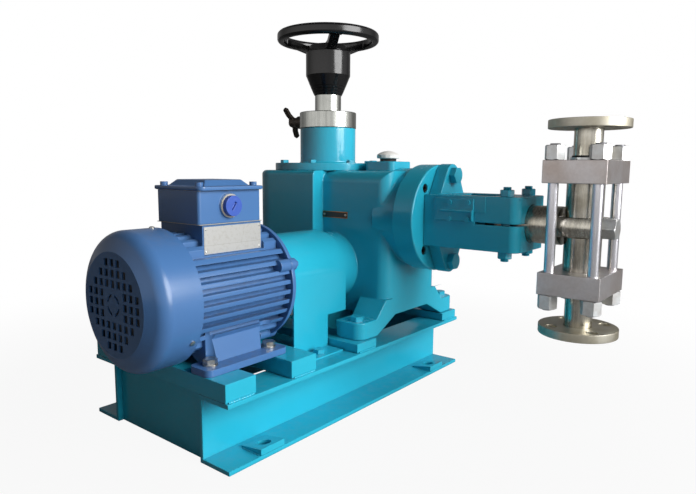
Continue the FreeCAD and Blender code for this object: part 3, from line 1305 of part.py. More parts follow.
def stroke_adjuster():
    bore = S.carrier_radius
    small = S.small_bolt_dia / 2 + S.run_gap
    housing = turned("Z", wheel_line, [
        (bore, top_z), (S.disc_radius, top_z), (S.disc_radius, column_foot), (S.column_radius, column_foot),
        (S.column_radius, column_top), (bore, column_top),
    ])
    base = rounded(housing, 4, lambda middle, run: near(middle.z, column_foot)
                   and near(math.hypot(middle.x - number(wheel_x), middle.y - number(S.pump_y)),
                            S.column_radius))
    keep("adjuster_column", cut(base, *drilled((top_z - 1, column_foot + 1), "Z", disc_bolt_spots(), small)))

    outer = bore - S.run_gap
    journal = S.journal_dia / 2
    high = carrier_low + S.carrier_length
    carrier = turned("Z", wheel_line, [
        (journal + 13, carrier_low), (outer, carrier_low), (outer, high - 6), (S.screw_collar + 0.3, high - 6),
        (S.screw_collar + 0.3, screw_seat), (journal + 7, screw_seat - 3), (journal + 7, carrier_low + 18),
        (journal + 13, carrier_low + 18),
    ])
    bearing = ring("Z", wheel_line, (carrier_low, carrier_low + 18), journal + 13 - S.run_gap,
                   journal + S.run_gap)
    lid = ring("Z", wheel_line, (high - 6, high), outer, S.screw_dia / 2 + S.run_gap)
    floor = ring("Z", wheel_line, (screw_seat - 3, screw_seat), S.screw_collar + 0.2, 4)
    keep("thrust_carrier", group(carrier, bearing, lid, floor))

    hole = S.spigot_radius
    ring_body = turned("Z", wheel_line, [
        (hole, column_top), (S.lock_ring_radius - 1, column_top), (S.lock_ring_radius, column_top + 1),
        (S.lock_ring_radius, ring_top - 1), (S.lock_ring_radius - 1, ring_top), (hole, ring_top),
    ])
    keep("lock_ring", cut(ring_body, rod("X", lock_line, (wheel_x - S.lock_ring_radius - 1, wheel_x - 5),
                                         S.lock_screw_dia / 2 + S.run_gap)))
    inner = S.screw_dia / 2 + S.run_gap
    keep("scale_sleeve", turned("Z", wheel_line, [
        (inner, column_top), (hole - S.run_gap, column_top), (hole - S.run_gap, ring_top),
        (S.sleeve_radius, ring_top), (S.sleeve_radius, ring_top + S.sleeve_height),
        (inner, ring_top + S.sleeve_height),
    ]))

    edge = ring_top + S.thimble_start
    roof = edge + S.thimble_height
    keep("adjusting_screw", turned("Z", wheel_line, [
        (0, screw_seat + 0.1), (S.screw_collar, screw_seat + 0.1), (S.screw_collar, high - 6.1),
        (S.screw_dia / 2, high - 6.1), (S.screw_dia / 2, roof + 8), (0, roof + 8),
    ]))
    clear = S.sleeve_radius + S.seat_gap
    keep("thimble", turned("Z", wheel_line, [
        (clear, edge), (S.thimble_edge, edge), (S.thimble_radius, edge + S.thimble_cone),
        (S.thimble_radius, roof), (inner, roof), (inner, roof - 16), (clear, roof - 16),
    ]))
    rim_low = roof + S.rim_rise
    rim_mid = S.wheel_radius - S.rim_width / 2
    wheel = body_on("Z", wheel_line, roof)
    bind(wheel, "Placement.Rotation.Angle", S.spoke_turn)
    turn(wheel, [
        (inner, 0), (S.hand_hub, 0), (S.hand_hub - 4, S.hand_hub_height), (inner, S.hand_hub_height),
    ])
    spoke = wheel_spoke(wheel, rim_mid)
    around_wheel = wheel.newObject("PartDesign::PolarPattern", "Spokes")
    around_wheel.Originals = [spoke]
    around_wheel.Axis = (spoke.Profile[0], ["V_Axis"])
    around_wheel.Angle = 360
    bind(around_wheel, "Occurrences", S.spoke_count)
    wheel.Tip = around_wheel
    rim = turned("Z", wheel_line, rim_outline(rim_low))
    keep("handwheel", fuse(wheel, rim))


def rim_outline(low):
    outer, inner = S.wheel_radius, S.wheel_radius - S.rim_width
    high = low + S.rim_height
    chamfer = S.rim_width / 4
    return [
        (inner + chamfer, low), (outer - chamfer, low), (outer, low + chamfer), (outer, high - chamfer),
        (outer - chamfer, high), (inner + chamfer, high), (inner, high - chamfer), (inner, low + chamfer),
    ]


def wheel_spoke(wheel, reach):
    """One spoke that rises from the hub to the rim, drawn from the side."""
    sketch = sketch_on(wheel, "XZ_Plane")
    draw_outline(sketch, [
        (S.hand_hub - 8, 0), (S.hand_hub + 4, 0), (reach, S.rim_rise + 2), (reach, S.rim_rise + 14),
        (S.hand_hub - 8, S.hand_hub_height - 1),
    ])
    spoke = wheel.newObject("PartDesign::Pad", "Spoke")
    spoke.Profile = sketch
    spoke.Midplane = True
    bind(spoke, "Length", S.spoke_width)
    wheel.Tip = spoke
    return spoke


lock_line = (S.pump_y, column_top + S.lock_ring_height / 2)


def lock_screw():
    ring_side = wheel_x - S.lock_ring_radius
    tip = wheel_x - S.spigot_radius - S.seat_gap
    end = ring_side - S.wing_reach
    screw = turned("X", lock_line, [
        (0, end), (S.wing_hub - 4, end), (S.wing_hub - 3, end + 14), (S.wing_hub, end + 22),
        (S.wing_hub, ring_side - S.seat_gap), (S.lock_screw_dia / 2, ring_side - S.seat_gap),
        (S.lock_screw_dia / 2, tip), (0, tip),
    ])
    wings = []
    thickness = (S.pump_y - 3, S.pump_y + 3)
    for way in (-1, 1):
        z = lock_line[1]
        wing = body_on("Y", (0, 0), thickness[0])
        pad(wing, (0, 6), [[
            (z + 4 * way, end + 16), (z + 4 * way, end + 3), (z + 16 * way, end - 3), (z + 29 * way, end - 5),
            (z + 33 * way, end), (z + 30 * way, end + 6), (z + 18 * way, end + 8),
        ]])
        wings.append(wing)
    keep("lock_screw", leaned(fuse(screw, *wings), lock_line, S.wing_lean))


def front_cover():
    span_bore = S.bore_radius - S.run_gap
    low = neck_face - S.spigot_length
    seal = collar_face - S.seal_length
    cover = turned("X", plunger_line, [
        (S.collar_recess, low), (span_bore, low), (span_bore, neck_face), (S.collar_radius - 2, neck_face),
        (S.collar_radius, neck_face + 2), (S.collar_radius, collar_face - 1.5),
        (S.collar_radius - 1.5, collar_face), (S.plunger_dia / 2 + S.run_gap, collar_face),
        (S.plunger_dia / 2 + S.run_gap, seal), (S.collar_recess, seal),
    ])
    screw = S.small_bolt_dia / 2
    holes = drilled((neck_face - 1, collar_face + 1), "X", ring_screw_spots(), screw + S.run_gap)
    sinks = drilled((collar_face - 10, collar_face + 1), "X", ring_screw_spots(), screw * 1.75)
    taps = drilled((collar_face - 24, collar_face + 1), "X", yoke_bolt_spots(), S.yoke_bolt_dia / 2 + S.run_gap)
    keep("crosshead_cover", cut(cover, *holes, *sinks, *taps))

    screws = []
    for spot in ring_screw_spots():
        head = cut(rod("X", spot, (collar_face - 10, collar_face - 2), screw * 1.6),
                   hexagon("X", spot, (collar_face - 6, collar_face - 1), screw * 1.5))
        screws.append(fuse(head, rod("X", spot, (neck_face - 20, collar_face - 9), screw)))
    keep("front_ring_screws", group(*screws))

    bolts = [
        hex_bolt("X", spot, yoke_face, S.yoke_bolt_dia, S.yoke_bolt_flats, S.yoke_flange + 23)
        for spot in yoke_bolt_spots()
    ]
    keep("yoke_bolts", group(*bolts))


def yoke_bolt_spots():
    return [(S.pump_y, plunger_z + (S.lobe_pitch / 2 + 3) * side) for side in (-1, 1)]


def yoke():
    low_y, high_y = S.pump_y - S.yoke_width / 2, S.pump_y + S.yoke_width / 2
    low_z, high_z = plunger_z - S.yoke_height / 2, plunger_z + S.yoke_height / 2
    middle, lobe = S.lobe_middle, S.lobe_radius
    reach = S.lobe_pitch / 2
    lean = (middle - lobe) / reach
    rise = root(1 - lean * lean)
    flange = body_on("X", plunger_line, collar_face)
    tangents = [(middle * rise, middle * lean), (lobe * rise, reach + lobe * lean)]
    outline = tangents + [(-y, z) for y, z in tangents[::-1]]
    outline += [(-y, -z) for y, z in tangents] + [(y, -z) for y, z in tangents[::-1]]
    pad(flange, (0, S.yoke_flange), [outline])
    plates = [flange, rod("X", plunger_line, (collar_face, yoke_face), middle)]
    plates += [rod("X", (S.pump_y, plunger_z + reach * side), (collar_face, yoke_face), lobe) for side in (-1, 1)]
    box = rounded(block((collar_face, yoke_end), (low_y, high_y), (low_z, high_z)), S.clamp_round,
                  lambda spot, run: abs(run.z) > 1 and near(spot.x, yoke_end))
    wall = S.yoke_wall
    inside = (collar_face + 7, yoke_end - S.clamp_length)
    hollow = block(inside, (low_y + wall, high_y - wall), (low_z + wall, high_z - wall))
    window = block((yoke_face + 16, inside[1]), (low_y + 2 * wall, high_y - 2 * wall), (high_z - wall - 1, high_z + 1))
    side_window = block((yoke_face + 4, inside[1] - 30), (low_y - 1, low_y + wall + 1),
                        (plunger_z + 10, high_z - 12))
    slit = block((yoke_end - S.slit_length, yoke_end + 1), (low_y - 1, high_y + 1),
                 (plunger_z - S.clamp_slit / 2, plunger_z + S.clamp_slit / 2))
    passage = rod("X", plunger_line, (collar_face - 1, collar_face + 8), S.plunger_dia / 2 + 5)
    clamp_bore = rod("X", plunger_line, (inside[1] - 1, yoke_end + 1), S.head_radius + S.run_gap)
    bolts = drilled((collar_face - 1, yoke_face + 1), "X", yoke_bolt_spots(), S.yoke_bolt_dia / 2 + S.run_gap)
    studs = drilled((low_z - 1, high_z + 1), "Z", stud_spots(), S.stud_dia / 2 + S.run_gap)
    taps = drilled((low_y - 1, low_y + wall - 2), "Y", window_screw_spots(), S.window_screw_dia / 2 + S.run_gap)
    keep("yoke_frame", cut(fuse(*plates, box), hollow, window, side_window, slit, passage, clamp_bore,
                           *bolts, *studs, *taps))

    thick = S.window_cover_thick
    plate_x = (yoke_face - S.window_start, yoke_face + S.window_end)
    plate_z = (plunger_z + S.window_low, high_z - S.window_drop)
    plate = block(plate_x, (low_y - thick, low_y), plate_z)
    middle_z = (plate_z[0] + plate_z[1]) / 2 - S.window_low
    rib = S.window_rib
    ridge = block((plate_x[0] + S.window_start + 10, plate_x[1] - rib), (low_y - thick - rib, low_y - thick),
                  (middle_z - rib / 2, middle_z + rib / 2))
    screw = S.window_screw_dia / 2
    holes = drilled((low_y - thick - 1, low_y + 1), "Y", window_screw_spots(), screw + S.run_gap)
    flange_clear = block((plate_x[0] - 1, yoke_face + 0.3), (low_y - thick - 1, low_y + 1),
                         (low_z, high_z))
    keep("window_cover", cut(fuse(plate, ridge), flange_clear, *holes))
    screws = []
    for spot in window_screw_spots():
        head = rod("Y", spot, (low_y - thick - screw * 1.25, low_y - thick), screw * 2)
        screws.append(fuse(head, rod("Y", spot, (low_y - thick - 1, low_y + 6), screw)))
    keep("window_screws", group(*screws))

    studs = []
    for spot in stud_spots():
        studs.append(rod("Z", spot, (low_z - 14, high_z + 14), S.stud_dia / 2))
        hole = S.stud_dia / 2 + S.run_gap
        studs.append(nut("Z", spot, high_z, Size(10, "10"), S.stud_flats, hole))
        studs.append(nut("Z", spot, low_z, Size(10, "10"), S.stud_flats, hole, -1))
    keep("clamp_studs", group(*studs))


def window_screw_spots():
    top = plunger_z + S.yoke_height / 2 - S.window_drop
    return [
        (x, z)
        for x in (yoke_face + S.window_end - 39.5, yoke_face + S.window_end - 9)
        for z in (plunger_z + S.window_low + 3.5, top - 6)
    ]


def stud_spots():
    return [(yoke_end - S.clamp_length / 2, S.pump_y + S.stud_pitch / 2 * side) for side in (-1, 1)]


def liquid_end():
    head_start = yoke_end - S.clamp_length
    head_stop = valve_x + S.head_end
    flat_start = valve_x - S.valve_radius - 3
    barrel = rod("X", plunger_line, (head_start, head_stop), S.head_radius)
    tools = []
    for side in (-1, 1):
        z_span = ordered(plunger_z + S.head_half_flat * side, plunger_z + (S.head_radius + 2) * side)
        tools.append(block((flat_start, head_stop + 1), (S.pump_y - 40, S.pump_y + 40), z_span))
    chamber_end = plunger_tip + S.stroke / 2 + 2
    tools += [
        rod("X", plunger_line, (head_start - 1, head_start + S.packing_length), S.packing_radius),
        rod("X", plunger_line, (head_start, chamber_end), S.chamber_bore),
        rod("X", plunger_line, (chamber_end - 1, head_stop + 1), S.port_bore + 1),
        rod("Z", valve_line, (plunger_z - S.head_radius, plunger_z + S.head_radius), S.port_bore),
    ]
    keep("pump_head", cut(barrel, *tools))

    shaft = S.plunger_dia / 2 + S.run_gap
    box = S.packing_radius - S.run_gap
    depth = S.packing_length
    rings = [
        ring("X", plunger_line, (head_start + depth - 6 * (step + 1), head_start + depth - 6 * step - 0.1),
             box, shaft)
        for step in range(4)
    ]
    gland = turned("X", plunger_line, [
        (shaft, head_start - 16), (S.packing_radius + 5, head_start - 16),
        (S.packing_radius + 5, head_start - 0.5), (box, head_start - 0.5),
        (box, head_start + depth - 24.5), (shaft, head_start + depth - 24.5),
    ])
    keep("packing_gland", group(gland, *rings))

    keep("head_plug", fuse(
        hexagon("X", plunger_line, (head_stop, head_stop + S.end_plug_length), S.end_plug_flats),
        rod("X", plunger_line, (head_stop - 12, head_stop + 1), S.port_bore + 1 - S.run_gap)))

    valves, flanges, blocks = [], [], []
    flat, length = S.head_half_flat, S.valve_length
    land, lift = S.seat_land, S.ball_lift
    block_low = plunger_z + flat + length
    rise_to_ball = root(S.ball_radius * S.ball_radius - S.port_bore * S.port_bore) + S.seat_gap
    for name, way, reach in (("suction", -1, S.suction_reach), ("discharge", 1, S.discharge_reach)):
        neck_end = length + S.block_thick + reach
        base = plunger_z + flat * way
        ball_room = S.ball_radius * 2 + lift
        seat_at = land if way == 1 else length - land - ball_room
        room = ordered(base + seat_at * way, base + (seat_at + ball_room) * way)
        outside = fuse(
            rod("Z", valve_line, ordered(base, base + length * way), S.valve_radius),
            rod("Z", valve_line, ordered(base + (length - 1) * way, base + (neck_end + S.port_thick / 2) * way),
                S.pipe_radius))
        tip = base + (neck_end + S.port_thick / 2 + 1) * way
        passage = rod("Z", valve_line, ordered(base - way, base + (length + 1) * way), S.port_bore)
        pipe = rod("Z", valve_line, ordered(base + length * way, tip), S.pipe_bore)
        valves.append(cut(outside, passage, pipe, rod("Z", valve_line, room, S.ball_chamber)))
        keep(name + "_ball", ball((valve_x, S.pump_y, room[0] + rise_to_ball), S.ball_radius))

        face = base + (neck_end + S.port_thick) * way
        disc = rod("Z", valve_line, ordered(base + neck_end * way, face), S.port_flange)
        raised = rod("Z", valve_line, ordered(face - way, face + S.port_face * way), S.port_face_radius)
        across = ordered(base + (neck_end - 1) * way, face + (S.port_face + 1) * way)
        counter = rod("Z", valve_line, ordered(base + (neck_end - 1) * way, tip - way), S.pipe_radius + S.run_gap)
        holes = drilled(across, "Z", spots_around(valve_line, S.port_circle, 4, 45), S.port_hole_dia / 2)
        flanges.append(cut(fuse(disc, raised), counter, rod("Z", valve_line, across, S.pipe_bore), *holes))

        z_span = ordered(base + length * way, base + (length + S.block_thick) * way)
        plate = block((valve_x - S.block_dx / 2, valve_x + S.block_dx / 2),
                      (S.pump_y - S.block_dy / 2, S.pump_y + S.block_dy / 2), z_span)
        open_span = (z_span[0] - 1, z_span[1] + 1)
        blocks.append(cut(plate, rod("Z", valve_line, open_span, S.pipe_radius + S.run_gap),
                          *drilled(open_span, "Z", tie_spots(), S.tie_dia / 2 + S.run_gap)))
    keep("valve_housings", group(*valves))
    keep("clamp_blocks", group(*blocks))
    keep("pipe_flanges", group(*flanges))

    high = block_low + S.block_thick
    low = plunger_z * 2 - high
    hole = S.tie_dia / 2 + S.run_gap
    ties = []
    for spot in tie_spots():
        ties.append(rod("Z", spot, (low - S.tie_nut - S.tie_end, high + S.tie_nut + S.tie_end), S.tie_dia / 2))
        ties.append(nut("Z", spot, high, S.tie_nut, S.tie_flats, hole))
        ties.append(nut("Z", spot, low, S.tie_nut, S.tie_flats, hole, -1))
    keep("tie_rods", group(*ties))


def tie_spots():
    return four_corners(valve_line, S.rod_dx, S.rod_dy)


def write_steps():
    doc.recompute()
    for item in doc.Objects:
        if "Invalid" in item.State or "Error" in item.State:
            raise RuntimeError("%s (%s) failed: %s" % (item.Name, item.Label, item.State))
    os.makedirs("parts", exist_ok=True)
    for item in nodes:
        shape = item.Shape
        if shape.isNull() or not shape.isValid() or not shape.Solids:
            raise RuntimeError("%s has no sound solid" % item.Label)
    for item in nodes:
        item.Shape.exportStep("parts/%s.step" % item.Label)
        print(item.Label, len(item.Shape.Solids), "solids", round(item.Shape.Volume))


base_frame()
motor_body()
motor_shields()
fan_cover()
fan_and_rotor()
bearings()
terminal_box()
motor_fasteners()
coupling()
coupling_guard()
gear_housing()
housing_fittings()
worm_gear()
crank()
running_gear()
stroke_adjuster()
lock_screw()
front_cover()
yoke()
liquid_end()
write_steps()
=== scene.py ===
"""Looks of a plunger metering pump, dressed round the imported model. Lengths are in metres, angles in degrees."""
import json
import math

import bmesh
import bpy
from mathutils import Matrix, Vector

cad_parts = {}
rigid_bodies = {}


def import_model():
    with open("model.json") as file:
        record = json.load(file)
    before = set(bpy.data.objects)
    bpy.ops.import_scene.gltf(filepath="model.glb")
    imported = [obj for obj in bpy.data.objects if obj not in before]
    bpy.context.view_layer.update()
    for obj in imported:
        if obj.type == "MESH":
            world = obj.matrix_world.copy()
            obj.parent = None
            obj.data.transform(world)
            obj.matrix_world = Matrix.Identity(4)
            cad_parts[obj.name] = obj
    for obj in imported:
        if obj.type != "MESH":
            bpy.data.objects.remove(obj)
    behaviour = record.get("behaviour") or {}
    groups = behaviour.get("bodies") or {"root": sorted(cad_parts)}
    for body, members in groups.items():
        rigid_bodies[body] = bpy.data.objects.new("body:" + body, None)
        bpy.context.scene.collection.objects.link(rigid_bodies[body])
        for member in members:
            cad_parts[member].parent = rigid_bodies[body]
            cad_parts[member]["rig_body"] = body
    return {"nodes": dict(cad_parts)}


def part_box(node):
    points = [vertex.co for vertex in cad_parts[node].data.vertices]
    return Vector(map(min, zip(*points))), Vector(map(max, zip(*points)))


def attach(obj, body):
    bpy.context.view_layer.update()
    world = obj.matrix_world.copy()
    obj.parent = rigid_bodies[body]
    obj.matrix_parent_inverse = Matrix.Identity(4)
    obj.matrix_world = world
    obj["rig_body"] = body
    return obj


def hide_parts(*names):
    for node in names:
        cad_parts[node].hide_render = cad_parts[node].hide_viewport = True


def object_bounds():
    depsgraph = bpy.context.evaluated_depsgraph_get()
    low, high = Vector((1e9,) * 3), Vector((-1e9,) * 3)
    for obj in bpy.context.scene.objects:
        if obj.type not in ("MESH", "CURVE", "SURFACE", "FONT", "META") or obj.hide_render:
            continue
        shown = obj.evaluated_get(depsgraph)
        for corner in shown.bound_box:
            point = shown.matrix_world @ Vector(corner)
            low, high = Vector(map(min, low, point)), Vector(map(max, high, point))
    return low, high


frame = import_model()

bl_info = {
    "name": "Plunger metering pump looks",
    "version": (1, 0, 0),
    "blender": (4, 5, 0),
    "location": "3D View > Sidebar > Pump",
    "description": "Finishes and fine pieces of a motor-driven plunger metering pump",
    "category": "Object",
}

MM = 0.001
X_AXIS, Y_AXIS, Z_AXIS = Vector((1, 0, 0)), Vector((0, 1, 0)), Vector((0, 0, 1))

# The room: where its window, its wall behind the camera and its far side lie, how bright each is, and how much
# brighter the wall is in metal
WINDOW_WAY, WALL_WAY, BACK_WAY = (0.92, 0.26, 0.28), (0.1, -0.99, 0.05), (-0.75, 0.65, 0.1)
WINDOW_LIGHT, WALL_LIGHT, BACK_LIGHT, ROOM_LIGHT = 0.9, 0.04, 0.25, 0.03
WALL_IN_METAL = 1.2
# The lamps as (place in metres, diameter in metres, watts), and the point of the pump that they aim at
WINDOW_LAMP, CEILING_LAMP = ((2.2, 0.28, 1.1), 1.7, 76.0), ((0.3, -0.2, 2.4), 2.4, 1.5)
LAMP_AIM = (0.05, 0.0, 0.25)
# How far the floor reaches in metres, how white it is to the camera near the pump, and the backdrop in metal
FLOOR_REACH, FLOOR_WHITE, WHITE_IN_METAL = 6.0, 0.93, 0.04
# The camera in metres, its azimuth, dip and roll in degrees, and its lens and film in millimetres
CAMERA_PLACE, CAMERA_TURN, LENS, FILM_WIDTH = (0.6789, -0.7102, 0.369), (38.82, 7.5934, 0.4108), 30.55, 36.0

# A Mix node's two colours and its result, by number
FIRST, SECOND, MIXED = 6, 7, 2

# Corners of the frame's meshes this near to each other are one
SAME_PLACE = 0.004 * MM
# Edges that turn by more than this many degrees are broken, and on hexagons and threads are drawn sharp
BROKEN_TURN, THREAD_TURN = 30, 28
# Rings of a bolt's corners whose radii differ by less than this are one ring
SAME_RING = 0.03 * MM

box_of_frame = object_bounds()
nodes = frame["nodes"]
# Each solid's box by its lowest and highest corner, and its middle
low = {name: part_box(name)[0] for name in nodes}
high = {name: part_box(name)[1] for name in nodes}
centre = {name: (low[name] + high[name]) / 2 for name in nodes}


def linear(code):
    """A colour written #rrggbb as linear red, green, blue and alpha."""
    shares = [int(code[start:start + 2], 16) / 255 for start in (1, 3, 5)]
    return tuple(c / 12.92 if c <= 0.04045 else ((c + 0.055) / 1.055) ** 2.4 for c in shares) + (1.0,)


def dim(colour, share):
    """A colour with its brightness cut to a share."""
    return tuple(c * share for c in colour[:3]) + (1.0,)


def colour_of(name, code):
    """A colour for the sidebar, from #rrggbb."""
    return bpy.props.FloatVectorProperty(
        name=name, description="Colour of the " + name.lower(), subtype="COLOR", size=4,
        min=0.0, max=1.0, default=linear(code))


def length_of(name, description, metres):
    """A length for the sidebar."""
    return bpy.props.FloatProperty(
        name=name, description=description, default=metres, min=0.0, unit="LENGTH", precision=5)


class PumpColours(bpy.types.PropertyGroup):
    """Colours of the pump's finishes and of the backdrop"""
    enamel: colour_of("Turquoise enamel", "#29b3cf")
    motor_paint: colour_of("Motor paint", "#4975ab")
    # This colour also paints the shade in corners and crevices of the enamels
    dust: colour_of("Workshop dust", "#8d8273")
    grime: colour_of("Oily grime", "#2a2420")
    black: colour_of("Black phenolic", "#08080a")
    steel: colour_of("Turned steel", "#b6b8b3")
    stainless: colour_of("Stainless steel", "#c9c7c9")
    flange_tint: colour_of("Pickled face of the flanges", "#b9b5a8")
    zinc: colour_of("Zinc plate", "#c6c8c6")
    plug: colour_of("Cable plug", "#3656ab")
    plate: colour_of("Bare plate", "#b9b9b6")
    cap: colour_of("Filler cap", "#e3e1dc")
    backdrop: colour_of("Backdrop", "#868686")


class PumpSizes(bpy.types.PropertyGroup):
    """Sizes of the pump's fine detail"""
    broken_edge: length_of(
        "Broken edge", "Width of a plain edge's rounding, of which each piece takes its share", 1.0 * MM)
    orange_peel: length_of("Orange peel", "Width of the waves in sprayed paint", 2.2 * MM)
    # Sand grains and tool marks are finer on the real pump: both are drawn coarser, so that they show
    sand_grain: length_of("Sand grain", "Width of the grain that a sand mould leaves", 1.6 * MM)
    lay_width: length_of("Tool marks", "Spacing of the marks that a cutter leaves", 0.5 * MM)
    thread_pitch: length_of("Thread pitch", "Pitch of the screw threads", 1.5 * MM)
    weld_leg: length_of("Weld leg", "Leg of the fillet welds", 3.0 * MM)
    gasket: length_of("Gasket", "Thickness of the terminal box gaskets", 0.8 * MM)


def colours():
    """The scene's colours."""
    return bpy.context.scene.pump_colours


def sizes():
    """The scene's sizes."""
    return bpy.context.scene.pump_sizes


def add(tree, kind, values=(), links=(), **settings):
    """A new shader node: settings are its properties, values its sockets, and links the outputs that feed it or
    the nodes whose first output does."""
    made = tree.nodes.new("ShaderNode" + kind)
    for name, value in settings.items():
        setattr(made, name, value)
    for socket, value in dict(values).items():
        made.inputs[socket].default_value = value
    for socket, source in dict(links).items():
        tree.links.new(getattr(source, "outputs", [source])[0], made.inputs[socket])
    return made


def spread(from_low, from_high, to_low=0.0, to_high=1.0):
    """The sockets of a Map Range node that spreads what lies between two values over two others."""
    return {1: from_low, 2: from_high, 3: to_low, 4: to_high}


def new_finish(name, **sockets):
    """A material with one Principled shader, its tree and that shader."""
    material = bpy.data.materials.new(name)
    material.use_nodes = True
    tree = material.node_tree
    tree.nodes.clear()
    shader = add(tree, "BsdfPrincipled", {key.replace("_", " "): value for key, value in sockets.items()})
    add(tree, "OutputMaterial", links={"Surface": shader})
    return material, tree, shader


def sprayed_enamel(name, colour, grain, grain_depth, roughness, dust, crevice=8 * MM):
    """Alkyd enamel sprayed on castings and steel: a glossy film with faint orange peel over the grain
    beneath, a little thinner in places, with dust on what faces up, and dark grime with painted shade in
    corners nearer than crevice, where an ambient-occlusion mask darkens them."""
    material, tree, shader = new_finish(name, Roughness=roughness, IOR=1.45, Coat_Weight=0.1, Coat_Roughness=0.05)
    place = add(tree, "TexCoord").outputs["Object"]
    film = add(tree, "TexNoise", {"Scale": 1 / (70 * MM), "Detail": 4.0}, {"Vector": place})
    tone = add(tree, "Mix", {FIRST: dim(colour, 0.86), SECOND: tuple(colour)}, {0: film}, data_type="RGBA")
    # Painted shade: ambient occlusion darkens corners and crevices with the dark colour, broken up by noise
    shade = add(tree, "AmbientOcclusion", {"Distance": crevice}, samples=8)
    corner = add(tree, "MapRange", spread(0.75, 0.15, 0.0, 0.75), {0: shade.outputs["AO"]})
    patch = add(tree, "TexNoise", {"Scale": 1 / (9 * MM), "Detail": 5.0}, {"Vector": place})
    soiled = add(tree, "Math", links={0: corner, 1: patch}, operation="MULTIPLY")
    dirty = add(tree, "Mix", {SECOND: tuple(colours().grime)},
                {0: soiled, FIRST: tone.outputs[MIXED]}, data_type="RGBA")
    facing = add(tree, "SeparateXYZ", links={0: add(tree, "NewGeometry").outputs["Normal"]})
    level = add(tree, "MapRange", spread(0.75, 1.0, 0.0, dust), {0: facing.outputs[2]})
    speck = add(tree, "TexNoise", {"Scale": 1 / (14 * MM), "Detail": 8.0, "Roughness": 0.7}, {"Vector": place})
    drift = add(tree, "MapRange", spread(0.45, 0.75), {0: speck})
    settled = add(tree, "Math", links={0: level, 1: drift}, operation="MULTIPLY")
    dusty = add(tree, "Mix", {SECOND: tuple(colours().dust)},
                {0: settled, FIRST: dirty.outputs[MIXED]}, data_type="RGBA")
    tree.links.new(dusty.outputs[MIXED], shader.inputs["Base Color"])
    matt = add(tree, "MapRange", spread(0.0, 0.5, roughness, roughness + 0.35), {0: settled})
    tree.links.new(matt.outputs[0], shader.inputs["Roughness"])
    peel = add(tree, "TexNoise", {"Scale": 1 / sizes().orange_peel, "Detail": 1.0}, {"Vector": place})
    waves = add(tree, "Bump", {"Strength": 0.12, "Distance": 0.1 * MM}, {"Height": peel})
    sand = add(tree, "TexNoise", {"Scale": 1 / grain, "Detail": 3.0}, {"Vector": place})
    skin = add(tree, "Bump", {"Strength": 0.5, "Distance": grain_depth}, {"Height": sand, "Normal": waves})
    tree.links.new(skin.outputs[0], shader.inputs["Normal"])
    return material


def machined_metal(name, colour, stain, lay, roughness, mark=0.04 * MM, metallic=1.0, stain_width=30 * MM, vary=0.06):
    """Bare metal that a tool has cut: fine marks along lay, which draw its reflections into streaks, and a stain that
    comes and goes over stain_width. Bands along lay lighten and darken its colour, in part as painted reflection
    streaks. lay holds how much the marks are drawn out along X, Y and Z, mark how deep they are and vary how far
    they part in tone."""
    material, tree, shader = new_finish(name, Metallic=metallic, Roughness=roughness)
    place = add(tree, "TexCoord").outputs["Object"]
    drawn = add(tree, "Mapping", {"Scale": lay}, {"Vector": place})
    marks = add(tree, "TexNoise", {"Scale": 1 / sizes().lay_width, "Detail": 3.0}, {"Vector": drawn})
    bands = add(tree, "TexNoise", {"Scale": 1 / (8 * sizes().lay_width), "Detail": 2.0}, {"Vector": drawn})
    cloud = add(tree, "TexNoise", {"Scale": 1 / stain_width, "Detail": 5.0}, {"Vector": place})
    share = add(tree, "MapRange", spread(0.35, 0.7), {0: cloud})
    stained = add(tree, "Mix", {FIRST: tuple(colour), SECOND: tuple(stain)}, {0: share}, data_type="RGBA")
    # Painted reflection in part: bands along the lay lighten and darken the base colour, most on the turned steel
    streak = add(tree, "MapRange", spread(0.3, 0.7, 1 - vary, 1 + vary / 2), {0: bands})
    toned = add(tree, "VectorMath", links={0: stained.outputs[MIXED], 1: streak}, operation="MULTIPLY")
    tree.links.new(toned.outputs[0], shader.inputs["Base Color"])
    rough = add(tree, "MapRange", spread(0.3, 0.7, roughness * (1 - vary), roughness * (1 + vary)), {0: marks})
    tree.links.new(rough.outputs[0], shader.inputs["Roughness"])
    cut = add(tree, "Bump", {"Strength": vary, "Distance": mark}, {"Height": marks})
    tree.links.new(cut.outputs[0], shader.inputs["Normal"])
    return material


def moulded_plastic(name, colour, roughness):
    """Plastic, rubber or a stove finish from a smooth mould: even colour, soft sheen, faint sink marks
    and fine scuffs that dull it here and there."""
    material, tree, shader = new_finish(name, Roughness=roughness, IOR=1.46)
    place = add(tree, "TexCoord").outputs["Object"]
    scuff = add(tree, "TexNoise", {"Scale": 1 / (6 * MM), "Detail": 8.0, "Roughness": 0.7}, {"Vector": place})
    paler = tuple(min(1.0, c * 1.15 + 0.004) for c in colour[:3]) + (1.0,)
    worn = add(tree, "Mix", {FIRST: tuple(colour), SECOND: paler}, {0: scuff}, data_type="RGBA")
    tree.links.new(worn.outputs[MIXED], shader.inputs["Base Color"])
    rough = add(tree, "MapRange", spread(0.35, 0.75, roughness, min(1.0, roughness + 0.2)), {0: scuff})
    tree.links.new(rough.outputs[0], shader.inputs["Roughness"])
    sink = add(tree, "TexNoise", {"Scale": 1 / (12 * MM)}, {"Vector": place})
    wave = add(tree, "Bump", {"Strength": 0.15, "Distance": 0.2 * MM}, {"Height": sink})
    tree.links.new(wave.outputs[0], shader.inputs["Normal"])
    return material


